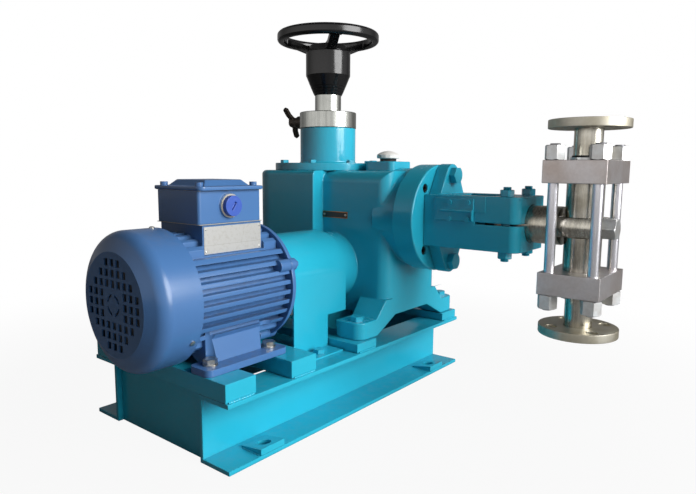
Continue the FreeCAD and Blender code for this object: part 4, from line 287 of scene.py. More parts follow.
def rolled_plate(name, colour, ink):
    """Rolled aluminium sheet, pale and almost matt, with ruled empty fields and rubbed patches."""
    material, tree, shader = new_finish(name, Metallic=0.35, Roughness=0.42)
    place = add(tree, "TexCoord").outputs["Object"]
    turned = add(tree, "Mapping", {"Rotation": (math.radians(90), 0, math.radians(90))}, {"Vector": place})
    fields = add(tree, "TexBrick", {
        "Color1": tuple(colour), "Color2": dim(colour, 0.93), "Mortar": tuple(ink), "Scale": 1.0,
        "Mortar Size": 0.15 * MM, "Mortar Smooth": 0.3, "Brick Width": 30 * MM, "Row Height": 5 * MM},
        {"Vector": turned}, offset=0.0)
    rub = add(tree, "TexNoise", {"Scale": 1 / (5 * MM), "Detail": 8.0, "Roughness": 0.75}, {"Vector": place})
    share = add(tree, "MapRange", spread(0.5, 0.8, 0.0, 0.6), {0: rub})
    rubbed = add(tree, "Mix", {SECOND: tuple(colours().dust)}, {0: share, FIRST: fields}, data_type="RGBA")
    tree.links.new(rubbed.outputs[MIXED], shader.inputs["Base Color"])
    return material


def make_finishes():
    """Every finish by its short name."""
    tint, size = colours(), sizes()
    round_lay, even, stacked = (1.0, 1.0, 0.02), (1.0, 1.0, 1.0), (1.0, 0.05, 1.0)
    return {
        # Turquoise alkyd enamel: bright and level on machined and welded steel, grainy on the castings
        "enamel": sprayed_enamel("turquoise_enamel_on_steel", tint.enamel, 6 * MM, 0.04 * MM, 0.2, dust=0.12),
        "cast_enamel": sprayed_enamel("turquoise_enamel_on_cast_iron", tint.enamel, size.sand_grain, 0.08 * MM, 0.24,
                                      dust=0.15),
        # Blue motor enamel: semi-gloss over die-cast aluminium, with dust between the fins and painted shade darkening
        # their gaps
        "motor": sprayed_enamel("blue_enamel_on_cast_aluminium", tint.motor_paint, size.sand_grain, 0.07 * MM, 0.3,
                                crevice=10 * MM, dust=0.35),
        # Pressed sheet of the fan cover: smoother than the castings
        "cover": sprayed_enamel("blue_enamel_on_pressed_steel", tint.motor_paint, 5 * MM, 0.03 * MM, 0.28, dust=0.3),
        # Phenolic handwheel and thimble: deep black with sharp highlights
        "black": moulded_plastic("black_phenolic", tint.black, 0.1),
        # Turned carbon steel: its light and dark bands up the sleeve are painted reflection streaks, like those from
        # tool marks running round it
        "turned": machined_metal("turned_carbon_steel", tint.steel, dim(tint.steel, 0.85), round_lay, 0.26, vary=0.2),
        # Milled stainless blocks: even satin faces with a faint brownish bloom
        "milled": machined_metal("milled_stainless_steel", tint.stainless, linear("#b3a8a2"), even, 0.38, 0.01 * MM,
                                 stain_width=60 * MM),
        # Pipe and valve tubes: darker, streaked along their length
        "tube": machined_metal("drawn_stainless_tube", linear("#c4c1b6"), linear("#958f80"), round_lay, 0.24,
                               vary=0.25),
        # Pickled flange faces: pale and matt, with a faint straw bloom
        "flange": machined_metal("pickled_stainless_flange", tint.flange_tint, linear("#a8a18c"), even, 0.45),
        # Bright-drawn bar of the tie rods: smooth, so that its highlights run long
        "bright": machined_metal("bright_drawn_bar", linear("#dfdfe4"), linear("#cfced4"), round_lay, 0.28, 0.01 * MM),
        # Cold-forged stainless nuts: even, and a little duller than the bar
        "nut": machined_metal("cold_forged_stainless_nut", linear("#cccfd0"), linear("#bbb9b6"), even, 0.42,
                              stain_width=14 * MM),
        # Zinc-plated fasteners: pale, faintly mottled
        "zinc": machined_metal("zinc_plated_steel", tint.zinc, linear("#a49d8e"), even, 0.34, stain_width=6 * MM),
        # Black oxide on the screws: dark, with a thin metallic sheen
        "oxide": machined_metal("black_oxide_steel", linear("#2b2a2b"), linear("#3b352f"), even, 0.35, metallic=0.8),
        # Malleable iron of the wing screw: brown-black, and rough from its mould
        "malleable": machined_metal("blackened_malleable_iron", linear("#4d443d"), linear("#2f2823"), even, 0.42,
                                    0.12 * MM, 0.7),
        # Tin bronze of the worm wheel: warm, and darker where it is porous
        "bronze": machined_metal("cast_tin_bronze", linear("#b98c4a"), linear("#8a6232"), even, 0.3),
        # Ground and hardened steel: near to a mirror
        "ground": machined_metal("ground_hardened_steel", linear("#cfd0d2"), linear("#b9b6b0"), round_lay, 0.12),
        # Machined grey iron: dull and dark from its graphite
        "grey_iron": machined_metal("machined_grey_iron", linear("#77777a"), linear("#5c5a57"), even, 0.42),
        # Stacked core sheets: dark, with fine lines between them
        "lamination": machined_metal("laminated_core_steel", linear("#6b6a6c"), linear("#55504a"), stacked, 0.4),
        # Greased braid: brown and matt
        "packing": moulded_plastic("greased_braided_packing", linear("#6b4630"), 0.6),
        # Moulded polyamide: even colour with a soft sheen
        "plug": moulded_plastic("moulded_blue_polyamide", tint.plug, 0.28),
        "cap": moulded_plastic("moulded_pale_polyamide", tint.cap, 0.35),
        # Nitrile rubber: black and matt
        "rubber": moulded_plastic("black_nitrile_rubber", linear("#1a1a1b"), 0.6),
        # Cast polyurethane: strong orange with a soft sheen
        "spider": moulded_plastic("orange_polyurethane", linear("#c4561e"), 0.4),
        # Moulded polypropylene: grey and waxy
        "fan": moulded_plastic("grey_polypropylene", linear("#5a5c60"), 0.45),
        # Pressed fibre of gaskets and washers: pale and matt
        "fibre": moulded_plastic("pale_pressed_fibre", linear("#a9a598"), 0.6),
        # Rolled aluminium of the motor plate: pale, almost matt, with empty ruled fields
        "plate": rolled_plate("rolled_aluminium_plate", tint.plate, linear("#8f8c84")),
        # Black anodised panel of the casting plate: dark and even, with a low gloss
        "dark_plate": moulded_plastic("black_anodised_aluminium", linear("#1d1a19"), 0.3),
        # Rolled brass of the casting plate: warm yellow, tarnished in places
        "brass": machined_metal("rolled_brass", linear("#b5814d"), linear("#8d5d3a"), even, 0.3),
    }


NODE_FINISHES = {
    "enamel": ("base_rails", "base_cross_plates", "cross_bars", "anchor_washers", "coupling_guard", "guard_screws",
               "yoke_bolts", "window_cover", "window_screws", "clamp_studs", "pump_foot_bolts", "worm_end_covers",
               "housing_cover_bolts", "adjuster_column"),
    "cast_enamel": ("gear_housing", "crosshead_cover", "yoke_frame"),
    "motor": ("motor_frame", "drive_end_shield", "rear_end_shield", "terminal_box", "terminal_lid",
              "terminal_lid_screws", "motor_case_screws"),
    "cover": ("fan_cover",),
    "black": ("handwheel", "thimble"),
    "turned": ("lock_ring", "scale_sleeve", "crank_shaft"),
    "milled": ("clamp_blocks", "pump_head"),
    "tube": ("valve_housings",),
    "flange": ("pipe_flanges",),
    "bright": ("tie_rods",),
    "nut": ("head_plug",),
    "zinc": ("motor_foot_bolts",),
    "oxide": ("front_ring_screws",),
    "malleable": ("lock_screw",),
    "bronze": ("worm_wheel",),
    "ground": ("plunger", "crosshead_pin", "shaft_bearings", "worm_shaft", "suction_ball", "discharge_ball",
               "adjusting_screw"),
    "grey_iron": ("crosshead", "connecting_rod", "thrust_carrier", "coupling_hubs"),
    "lamination": ("stator_core", "motor_rotor"),
    "packing": ("packing_gland",),
    "plug": ("cable_plug",),
    "cap": ("oil_filler_cap",),
    "spider": ("coupling_spider",),
    "fan": ("cooling_fan",),
    "plate": ("motor_nameplate",),
    "dark_plate": ("housing_nameplate",),
}
# The finishes by their short names, once they are made
finishes = {}


def place_piece(name, bm, finish, like, *stands_for, sharp=40):
    """Turns a bmesh into a piece that rides with the solid it is like, and hides the solids it stands for. It is
    smooth except where it turns by more than sharp degrees, and its flat faces stay flat in the light."""
    for face in bm.faces:
        face.smooth = True
    for edge in bm.edges:
        edge.smooth = edge.is_manifold and edge.calc_face_angle(0) < math.radians(sharp)
    mesh = bpy.data.meshes.new(name)
    bm.to_mesh(mesh)
    bm.free()
    mesh.materials.append(finishes[finish])
    made = bpy.data.objects.new(name, mesh)
    bpy.context.scene.collection.objects.link(made)
    even = made.modifiers.new("flat_faces_stay_flat", "WEIGHTED_NORMAL")
    even.keep_sharp = True
    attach(made, nodes[like]["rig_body"])
    if stands_for:
        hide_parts(*stands_for)


def copy_of(node, flats_whole):
    """A solid of the frame as a bmesh with its doubles merged and, if asked, its flat faces whole."""
    bm = bmesh.new()
    bm.from_mesh(nodes[node].data)
    bmesh.ops.remove_doubles(bm, verts=bm.verts, dist=SAME_PLACE)
    if flats_whole:
        bmesh.ops.dissolve_limit(bm, angle_limit=math.radians(0.3), verts=bm.verts, edges=bm.edges)
    return bm


def eased_copies(finish, segments=2, flats_whole=True, **shares):
    """Stands copies of solids in their places, with every edge broken that turns by more than BROKEN_TURN. Each
    solid is named with its share of the broken edge's width."""
    for node, share in shares.items():
        bm = copy_of(node, flats_whole)
        sharp = [edge for edge in bm.edges if edge.is_manifold and edge.calc_face_angle(0) > math.radians(BROKEN_TURN)]
        bmesh.ops.bevel(bm, geom=sharp, offset=share * sizes().broken_edge, offset_type="OFFSET", affect="EDGES",
                        segments=segments, profile=0.5, clamp_overlap=False, material=-1)
        place_piece(node + "_eased", bm, finish, node, node)


def lathe(bm, axis, foot, outline, steps=48):
    """Spins an outline of (radius, rise) pairs round the axis through foot."""
    side = axis.orthogonal().normalized()
    verts = [bm.verts.new(foot + side * radius + axis * rise) for radius, rise in outline]
    edges = [bm.edges.new(pair) for pair in zip(verts, verts[1:])]
    bmesh.ops.spin(bm, geom=verts + edges, cent=foot, axis=axis, dvec=(0, 0, 0), angle=math.tau, steps=steps,
                   use_merge=True, use_duplicate=False)
    bmesh.ops.remove_doubles(bm, verts=bm.verts, dist=SAME_PLACE / 2)
    bmesh.ops.recalc_face_normals(bm, faces=bm.faces)


def ring_outline(inner, outer, low_end, high_end, edge):
    """A washer's section with broken outer edges, closed on itself."""
    return [(inner, low_end), (outer - edge, low_end), (outer, low_end + edge), (outer, high_end - edge),
            (outer - edge, high_end), (inner, high_end), (inner, low_end)]


def stud_outline(radius, low_end, high_end, pitch, threaded_low, threaded_high):
    """A closed bar's section whose ends carry thread ridges for the lengths given."""
    depth = pitch * 0.45
    tip = pitch * 0.6
    points = [(0, low_end), (radius - depth, low_end)]
    at = low_end + tip
    while at < low_end + threaded_low:
        points += [(radius, at), (radius - depth, at + pitch / 2)]
        at += pitch
    points += [(radius, at), (radius, high_end - threaded_high - tip)]
    at = high_end - threaded_high
    while at < high_end - tip:
        points += [(radius - depth, at - pitch / 2), (radius, at)]
        at += pitch
    return points + [(radius - depth, high_end), (0, high_end)]


def hexagon(bm, axis, foot, corner, depth, turned_to, crowned=(True, True)):
    """A forged hexagon from foot along axis, whose crowned ends are turned off to a cone. corner is its radius over
    the corners and turned_to the direction of one of them."""
    steps, half_side = 48, math.radians(30)
    flat = corner * math.cos(half_side)
    others = set(bm.verts)
    made = bmesh.ops.create_cone(
        bm, cap_ends=True, cap_tris=False, segments=steps, radius1=flat, radius2=flat, depth=depth)
    caps = {face for vert in made["verts"] for face in vert.link_faces if len(face.verts) == steps}
    for cap in caps:
        bmesh.ops.inset_region(bm, faces=[cap], thickness=flat * 0.05)
    whole = [vert for vert in bm.verts if vert not in others]
    for vert in whole:
        if vert.co.xy.length < flat * 0.98:
            continue
        around = math.degrees(math.atan2(vert.co.y, vert.co.x)) % 60 - 30
        reach = flat / math.cos(math.radians(around))
        vert.co.xy *= reach / flat
        if crowned[vert.co.z > 0]:
            vert.co.z -= math.copysign((reach - flat * 0.96) * math.tan(half_side), vert.co.z)
    across = turned_to - axis * turned_to.dot(axis)
    across.normalize()
    turned = Matrix((across, axis.cross(across), axis)).transposed().to_4x4()
    bmesh.ops.transform(bm, matrix=Matrix.Translation(foot + axis * depth / 2) @ turned, verts=whole)


def solids_in(node):
    """The separate solids of a node, each as the places of its corners."""
    bm = bmesh.new()
    bm.from_mesh(nodes[node].data)
    bmesh.ops.remove_doubles(bm, verts=bm.verts, dist=SAME_PLACE)
    left, found = set(bm.verts), []
    while left:
        queue, island = [left.pop()], []
        while queue:
            vert = queue.pop()
            island.append(vert.co.copy())
            for edge in vert.link_edges:
                other = edge.other_vert(vert)
                if other in left:
                    left.remove(other)
                    queue.append(other)
        found.append(island)
    bm.free()
    return sorted(found, key=lambda island: tuple(round(value, 4) for value in middle_of(island)))


def corners_of(island):
    """The lowest and highest corner of a solid's box."""
    return Vector([min(axis) for axis in zip(*island)]), Vector([max(axis) for axis in zip(*island)])


def middle_of(island):
    """The middle of a solid's box."""
    return Vector([(least + most) / 2 for least, most in zip(*corners_of(island))])


def fastener_parts(island, axis):
    """Reads a bolt, nut, stud or washer: where its line starts and, each None where it has none, its hexagon as
    (corner radius, low, high, way to a corner), its shank as (radius, low, high) and its washer as (bore, radius,
    low, high)."""
    foot = middle_of(island)
    foot -= axis * foot.dot(axis)
    corners = sorted((((co - foot) - axis * (co - foot).dot(axis), co.dot(axis)) for co in island),
                     key=lambda pair: pair[0].length)
    rings = [[corners[0]]]
    for pair in corners[1:]:
        if pair[0].length - rings[-1][-1][0].length > SAME_RING:
            rings.append([])
        rings[-1].append(pair)
    head, rounds = None, []
    # A hexagon's corners make a ring of six to fourteen places, and a round's outline a ring of more
    for ring in rings:
        reach, rises = ring[-1][0].length, [rise for _, rise in ring]
        if 6 <= len(ring) <= 14:
            head = (reach, min(rises), max(rises), ring[-1][0])
        elif len(ring) > 14:
            rounds.append((reach, min(rises), max(rises)))
    # Two rounds that are wider than they are tall are a washer's bore and rim
    if not head and len(rounds) == 2 and rounds[1][2] - rounds[1][1] < rounds[1][0]:
        return foot, None, None, (rounds[0][0], *rounds[1])
    out = [part for part in rounds if not head or part[1] < head[1] - 0.1 * MM or part[2] > head[2] + 0.1 * MM]
    return foot, head, out[-1] if out else None, None


def long_axis(island):
    """The axis that a solid is longest along."""
    spans = [most - least for least, most in zip(*corners_of(island))]
    return (X_AXIS, Y_AXIS, Z_AXIS)[spans.index(max(spans))]


def dressed_fasteners(node, finish, axis):
    """Bolts, nuts and studs in place of a node's plain ones: crowned hexagons, threaded ends, and washers. Each
    lies along axis or, without one, along its own longest side."""
    bm = bmesh.new()
    pitch = sizes().thread_pitch
    threads = 8 * pitch
    for island in solids_in(node):
        line = axis or long_axis(island)
        foot, head, shank, washer = fastener_parts(island, line)
        if head:
            corner, start, stop, way = head
            crowned = (not shank or shank[1] > start - MM, True)
            hexagon(bm, line, foot + line * start, corner, stop - start, way, crowned)
        if washer:
            lathe(bm, line, foot, ring_outline(*washer, 0.3 * MM), 32)
        if shank:
            radius, start, stop = shank
            # A headed bolt's shank stops inside its head
            if head and stop > head[1]:
                stop = (head[1] + head[2]) / 2
            lathe(bm, line, foot, stud_outline(radius, start, stop, pitch, threads, 0 if head else threads), 24)
    place_piece(node + "_dressed", bm, finish, node, node, sharp=THREAD_TURN)


def domes(spots, axis, radius, height):
    """Rivet and pin heads whose flat faces stand on the spots."""
    outline = [(0, 0), (radius, 0), (radius * 0.92, height * 0.5), (radius * 0.6, height * 0.88), (0, height)]
    bm = bmesh.new()
    for spot in spots:
        lathe(bm, axis, spot, outline, 16)
    return bm


def slab(bm, corner_low, corner_high, edge, segments=2):
    """A plate between two corners with its edges broken."""
    placed = Matrix.Translation((corner_low + corner_high) / 2) @ Matrix.Diagonal((*(corner_high - corner_low), 1))
    made = bmesh.ops.create_cube(bm, size=1.0, matrix=placed)
    edges = {edge_of for vert in made["verts"] for edge_of in vert.link_edges}
    bmesh.ops.bevel(bm, geom=list(edges), offset=edge, offset_type="OFFSET", affect="EDGES", segments=segments,
                    profile=0.5, clamp_overlap=True, material=-1)


def bead(bm, start, stop, leg):
    """A rippled weld bead from start to stop."""
    run, thick, ripple = stop - start, leg * 0.62, leg * 0.7
    ripples = max(4, int(run.length / ripple))
    turned = run.to_track_quat("Z", "Y").to_matrix().to_4x4()
    made = bmesh.ops.create_cone(bm, cap_ends=True, segments=8, radius1=thick, radius2=thick, depth=run.length,
                                 matrix=Matrix.Translation((start + stop) / 2) @ turned)
    long_edges = [edge for edge in {edge for vert in made["verts"] for edge in vert.link_edges}
                  if edge.calc_length() > run.length * 0.9]
    cut_verts = bmesh.ops.subdivide_edges(bm, edges=long_edges, cuts=ripples * 2)["geom_inner"]
    way = run.normalized()
    for vert in cut_verts:
        if isinstance(vert, bmesh.types.BMVert):
            along = (vert.co - start).dot(way)
            on_line = start + way * along
            # The welder's even ripple, and an unevenness of 900 radians to the metre
            swell = 1 + 0.16 * math.sin(along / ripple * math.pi) + 0.05 * math.sin(along * 900)
            vert.co = on_line + (vert.co - on_line) * swell


class PumpPart:
    """What the pump's operators share."""
    bl_options = {"REGISTER", "UNDO"}


class PUMP_OT_finishes(PumpPart, bpy.types.Operator):
    """Gives every solid of the pump its own finish"""
    bl_idname = "pump.finishes"
    bl_label = "Finishes"

    def execute(self, context):
        finishes.update(make_finishes())
        for finish, names in NODE_FINISHES.items():
            for name in names:
                nodes[name].data.materials.clear()
                nodes[name].data.materials.append(finishes[finish])
        bare = sorted(name for name in nodes if nodes[name].data.materials[0] not in finishes.values())
        if bare:
            raise RuntimeError("solids with no finish: " + ", ".join(bare))
        return {"FINISHED"}


class PUMP_OT_base(PumpPart, bpy.types.Operator):
    """Rails, end plates, cross bars and taper washers with filed edges, and their weld beads"""
    bl_idname = "pump.base"
    bl_label = "Base frame"

    def execute(self, context):
        eased_copies("enamel", base_rails=1.0, base_cross_plates=0.8, cross_bars=1.4, anchor_washers=1.0)
        leg = sizes().weld_leg
        bm = bmesh.new()
        for bar in solids_in("cross_bars"):
            lowest, highest = corners_of(bar)
            for x in (lowest.x, highest.x):
                bead(bm, Vector((x, lowest.y + 4 * MM, lowest.z)), Vector((x, highest.y - 4 * MM, lowest.z)), leg)
        for pad in solids_in("anchor_washers"):
            lowest, highest = corners_of(pad)
            for y in (lowest.y, highest.y):
                bead(bm, Vector((lowest.x + 3 * MM, y, lowest.z)), Vector((highest.x - 3 * MM, y, lowest.z)), leg * 0.7)
        bmesh.ops.recalc_face_normals(bm, faces=bm.faces)
        place_piece("base_weld_beads", bm, "enamel", "base_rails", sharp=60)
        return {"FINISHED"}


class PUMP_OT_guard(PumpPart, bpy.types.Operator):
    """Coupling guard of folded sheet"""
    bl_idname = "pump.guard"
    bl_label = "Coupling guard"

    def execute(self, context):
        # Its faces stay split as the frame has them: once they are whole, a dark line crosses the sheet
        eased_copies("enamel", flats_whole=False, coupling_guard=0.5)
        return {"FINISHED"}


class PUMP_OT_castings(PumpPart, bpy.types.Operator):
    """Gear casting, its covers, adjuster column and yoke with the soft corners of sand castings"""
    bl_idname = "pump.castings"
    bl_label = "Castings"

    def execute(self, context):
        eased_copies("cast_enamel", 3, gear_housing=1.6, crosshead_cover=1.0, yoke_frame=1.4)
        eased_copies("enamel", worm_end_covers=1.0, adjuster_column=1.0, window_cover=0.9)
        cover_low, cover_high = low["window_cover"], high["window_cover"]
        bm = bmesh.new()
        # The folded flap behind the cover, and the turned-down end of the cover's rib
        slab(bm, Vector((cover_low.x + 1 * MM, cover_high.y - 0.9 * MM, cover_high.z - 20 * MM)),
             Vector((cover_high.x + 18 * MM, cover_high.y + 0.4 * MM, cover_high.z + 3.6 * MM)), 0.6 * MM)
        slab(bm, Vector((cover_high.x - 3.4 * MM, cover_low.y + 0.4 * MM, cover_low.z + 1 * MM)),
             Vector((cover_high.x - 0.6 * MM, cover_high.y - 2 * MM, cover_low.z + 18 * MM)), 0.8 * MM)
        place_piece("window_cover_flap", bm, "enamel", "window_cover")
        eased_copies("oxide", front_ring_screws=0.3)
        return {"FINISHED"}


class PUMP_OT_motor(PumpPart, bpy.types.Operator):
    """Motor castings, fan cover, terminal box with its gaskets and cable plug"""
    bl_idname = "pump.motor"
    bl_label = "Motor"

    def execute(self, context):
        eased_copies("motor", motor_frame=0.7, drive_end_shield=1.2, rear_end_shield=1.0, terminal_box=1.0,
                     terminal_lid=1.2)
        eased_copies("plug", 3, cable_plug=0.8)
        bm = bmesh.new()
        half = sizes().gasket / 2
        box_low, box_high = low["terminal_box"], high["terminal_box"]
        out = Vector((0.4 * MM, 0.4 * MM, 0))
        for z in (box_low.z, low["terminal_lid"].z):
            slab(bm, Vector((box_low.x, box_low.y, z - half)) - out,
                 Vector((box_high.x, box_high.y, z + half)) + out, 0.2 * MM, 1)
        place_piece("terminal_box_gaskets", bm, "fibre", "terminal_box")
        bm = bmesh.new()
        plug = centre["cable_plug"]
        radius = (high["cable_plug"].y - low["cable_plug"].y) / 2
        lathe(bm, X_AXIS, Vector((box_high.x, plug.y, plug.z)),
              ring_outline(radius * 0.6, radius * 1.16, 0, 1.4 * MM, 0.3 * MM))
        place_piece("cable_plug_washer", bm, "fibre", "cable_plug")
        # Three screws hold the fan cover to the rear shield
        bm = bmesh.new()
        middle, reach = centre["fan_cover"], (high["fan_cover"].x - low["fan_cover"].x) / 2
        in_from_end, sunk = 9 * MM, 0.3 * MM
        head = [(0, 0), (3.4 * MM, 0), (3.4 * MM, 1.7 * MM), (2 * MM, 2.4 * MM), (0, 2.4 * MM)]
        for turn in (90, -30, 210):
            way = Vector((math.cos(math.radians(turn)), 0, math.sin(math.radians(turn))))
            foot = Vector((middle.x, high["fan_cover"].y - in_from_end, middle.z)) + way * (reach - sunk)
            lathe(bm, way, foot, head, 16)
        place_piece("fan_cover_screws", bm, "zinc", "fan_cover")
        return {"FINISHED"}


class PUMP_OT_adjuster(PumpPart, bpy.types.Operator):
    """Handwheel, thimble, lock ring, scale sleeve and wing screw"""
    bl_idname = "pump.adjuster"
    bl_label = "Stroke adjuster"

    def execute(self, context):
        eased_copies("black", 3, handwheel=1.8)
        eased_copies("turned", lock_ring=0.4, scale_sleeve=0.4)
        eased_copies("malleable", 3, lock_screw=1.6)
        foot = centre["thimble"].copy()
        foot.z = low["thimble"].z
        outer, tall = (high["thimble"].x - low["thimble"].x) / 2, high["thimble"].z - foot.z
        # The skirt: its radius inside, its radius at the foot and how high its cone goes. The boss: its bore and height
        inner, rim, cone, bore, boss = 24.2 * MM, 25.4 * MM, 34.4 * MM, 13 * MM, 16 * MM
        slope = (outer - rim) / cone
        outline = [(inner, 0), (rim - 0.6 * MM, 0), (rim, 0.8 * MM)]
        # Three grooves round the skirt
        half_groove, deep = 0.6 * MM, 0.7 * MM
        for rise in (6 * MM, 11 * MM, 16 * MM):
            reach = rim + slope * rise
            outline += [(reach - slope * half_groove, rise - half_groove), (reach - deep, rise),
                        (reach + slope * half_groove, rise + half_groove)]
        outline += [(outer - 1.2 * MM, cone - 1.8 * MM), (outer - 0.3 * MM, cone - 0.2 * MM), (outer, cone + 1.4 * MM),
                    (outer, tall - 1.2 * MM), (outer - 1.2 * MM, tall), (bore, tall), (bore, tall - boss),
                    (inner, tall - boss), (inner, 0)]
        bm = bmesh.new()
        lathe(bm, Z_AXIS, foot, outline, 96)
        place_piece("thimble_turned", bm, "black", "thimble", "thimble", sharp=50)
        return {"FINISHED"}


class PUMP_OT_liquid_end(PumpPart, bpy.types.Operator):
    """Pump head, valve housings, clamp blocks, tie rods and pipe flanges"""
    bl_idname = "pump.liquid_end"
    bl_label = "Liquid end"

    def execute(self, context):
        eased_copies("milled", 3, clamp_blocks=0.9)
        eased_copies("tube", pump_head=0.8, valve_housings=0.5)
        eased_copies("flange", pipe_flanges=1.0)
        rods, nuts, threads = bmesh.new(), bmesh.new(), 22 * MM
        for island in solids_in("tie_rods"):
            foot, head, shank, _ = fastener_parts(island, Z_AXIS)
            if head:
                hexagon(nuts, Z_AXIS, foot + Z_AXIS * head[1], head[0], head[2] - head[1], head[3])
            if shank and not head:
                lathe(rods, Z_AXIS, foot, stud_outline(*shank, sizes().thread_pitch, threads, threads), 32)
        place_piece("tie_rod_bars", rods, "bright", "tie_rods", "tie_rods", sharp=THREAD_TURN)
        place_piece("tie_rod_nuts", nuts, "nut", "tie_rods", "tie_rods", sharp=THREAD_TURN)
        foot = centre["valve_housings"].copy()
        foot.z = 0
        bore, collar = 18.9 * MM, 4 * MM
        for name, finish, outline in (
                ("neck_collars", "nut", ring_outline(bore, 22.5 * MM, 0, collar, 0.5 * MM)),
                # Above each collar a narrower ring in black: painted shade for the groove there
                ("neck_shade_rings", "rubber", ring_outline(bore, 20.4 * MM, collar, collar + 2.5 * MM, 0.3 * MM))):
            bm = bmesh.new()
            for z, way in ((high["clamp_blocks"].z, 1), (low["clamp_blocks"].z, -1)):
                lathe(bm, Z_AXIS * way, foot + Z_AXIS * z, outline)
            place_piece(name, bm, finish, "valve_housings")
        return {"FINISHED"}


class PUMP_OT_fasteners(PumpPart, bpy.types.Operator):
    """Hexagon bolts, nuts and studs with crowned heads, threads and washers"""
    bl_idname = "pump.fasteners"
    bl_label = "Fasteners"

    def execute(self, context):
        for node, finish, axis in (
                ("pump_foot_bolts", "enamel", Z_AXIS), ("guard_screws", "enamel", Z_AXIS),
                ("motor_foot_bolts", "zinc", Z_AXIS), ("housing_cover_bolts", "enamel", None),
                ("yoke_bolts", "enamel", X_AXIS), ("clamp_studs", "enamel", Z_AXIS),
                ("motor_case_screws", "motor", Y_AXIS), ("head_plug", "nut", X_AXIS)):
            dressed_fasteners(node, finish, axis)
        return {"FINISHED"}


class PUMP_OT_plates(PumpPart, bpy.types.Operator):
    """Bare name plates with their rivets"""
    bl_idname = "pump.plates"
    bl_label = "Plates"

    def execute(self, context):
        inset = 3 * MM
        eased_copies("plate", motor_nameplate=0.2)
        lowest, highest = low["motor_nameplate"], high["motor_nameplate"]
        spots = [Vector((highest.x, y, z)) for y in (lowest.y + inset, highest.y - inset)
                 for z in (lowest.z + inset, highest.z - inset)]
        place_piece("motor_plate_pins", domes(spots, X_AXIS, 1.5 * MM, 0.8 * MM), "zinc", "motor_nameplate")
        eased_copies("brass", housing_nameplate=0.2)
        lowest, highest = low["housing_nameplate"], high["housing_nameplate"]
        rim, thickness = 1.2 * MM, 0.8 * MM
        face = highest.y - thickness
        bm = bmesh.new()
        slab(bm, Vector((lowest.x + rim, face - 0.2 * MM, lowest.z + rim)),
             Vector((highest.x - rim, face + 0.1 * MM, highest.z - rim)), 0.1 * MM, 1)
        place_piece("casting_plate_panel", bm, "dark_plate", "housing_nameplate")
        middle = (lowest.z + highest.z) / 2
        spots = [Vector((x, face - 0.1 * MM, middle)) for x in (lowest.x + 4 * MM, highest.x - 4 * MM)]
        place_piece("casting_plate_rivets", domes(spots, -Y_AXIS, 2.2 * MM, 1.2 * MM), "zinc", "housing_nameplate")
        return {"FINISHED"}


class PUMP_OT_filler_cap(PumpPart, bpy.types.Operator):
    """Breather cap of the oil filler: a shallow dome with a faceted side over a narrower ring"""
    bl_idname = "pump.filler_cap"
    bl_label = "Filler cap"

    def execute(self, context):
        tall, ring = 18 * MM, 5.2 * MM
        foot = centre["oil_filler_cap"].copy()
        foot.z = high["oil_filler_cap"].z - tall
        wide = (high["oil_filler_cap"].x - low["oil_filler_cap"].x) / 2
        bm = bmesh.new()
        lathe(bm, Z_AXIS, foot, [
            (0, 5 * MM), (wide - 5 * MM, 5 * MM), (wide - 0.8 * MM, ring), (wide, 6 * MM), (wide, 11 * MM),
            (wide - 1.5 * MM, 12.5 * MM), (wide - 6 * MM, 15 * MM), (wide - 12 * MM, 17.2 * MM), (0, tall)], 16)
        place_piece("filler_cap_dome", bm, "cap", "oil_filler_cap", "oil_filler_cap", sharp=18)
        bm = bmesh.new()
        lathe(bm, Z_AXIS, foot, [(0, -11 * MM), (12 * MM, -11 * MM), (12 * MM, 0.1 * MM), (14 * MM, 0.1 * MM),
                                 (14 * MM, ring), (0, ring)], 32)
        place_piece("filler_cap_throat", bm, "rubber", "oil_filler_cap", "oil_filler_cap")
        return {"FINISHED"}


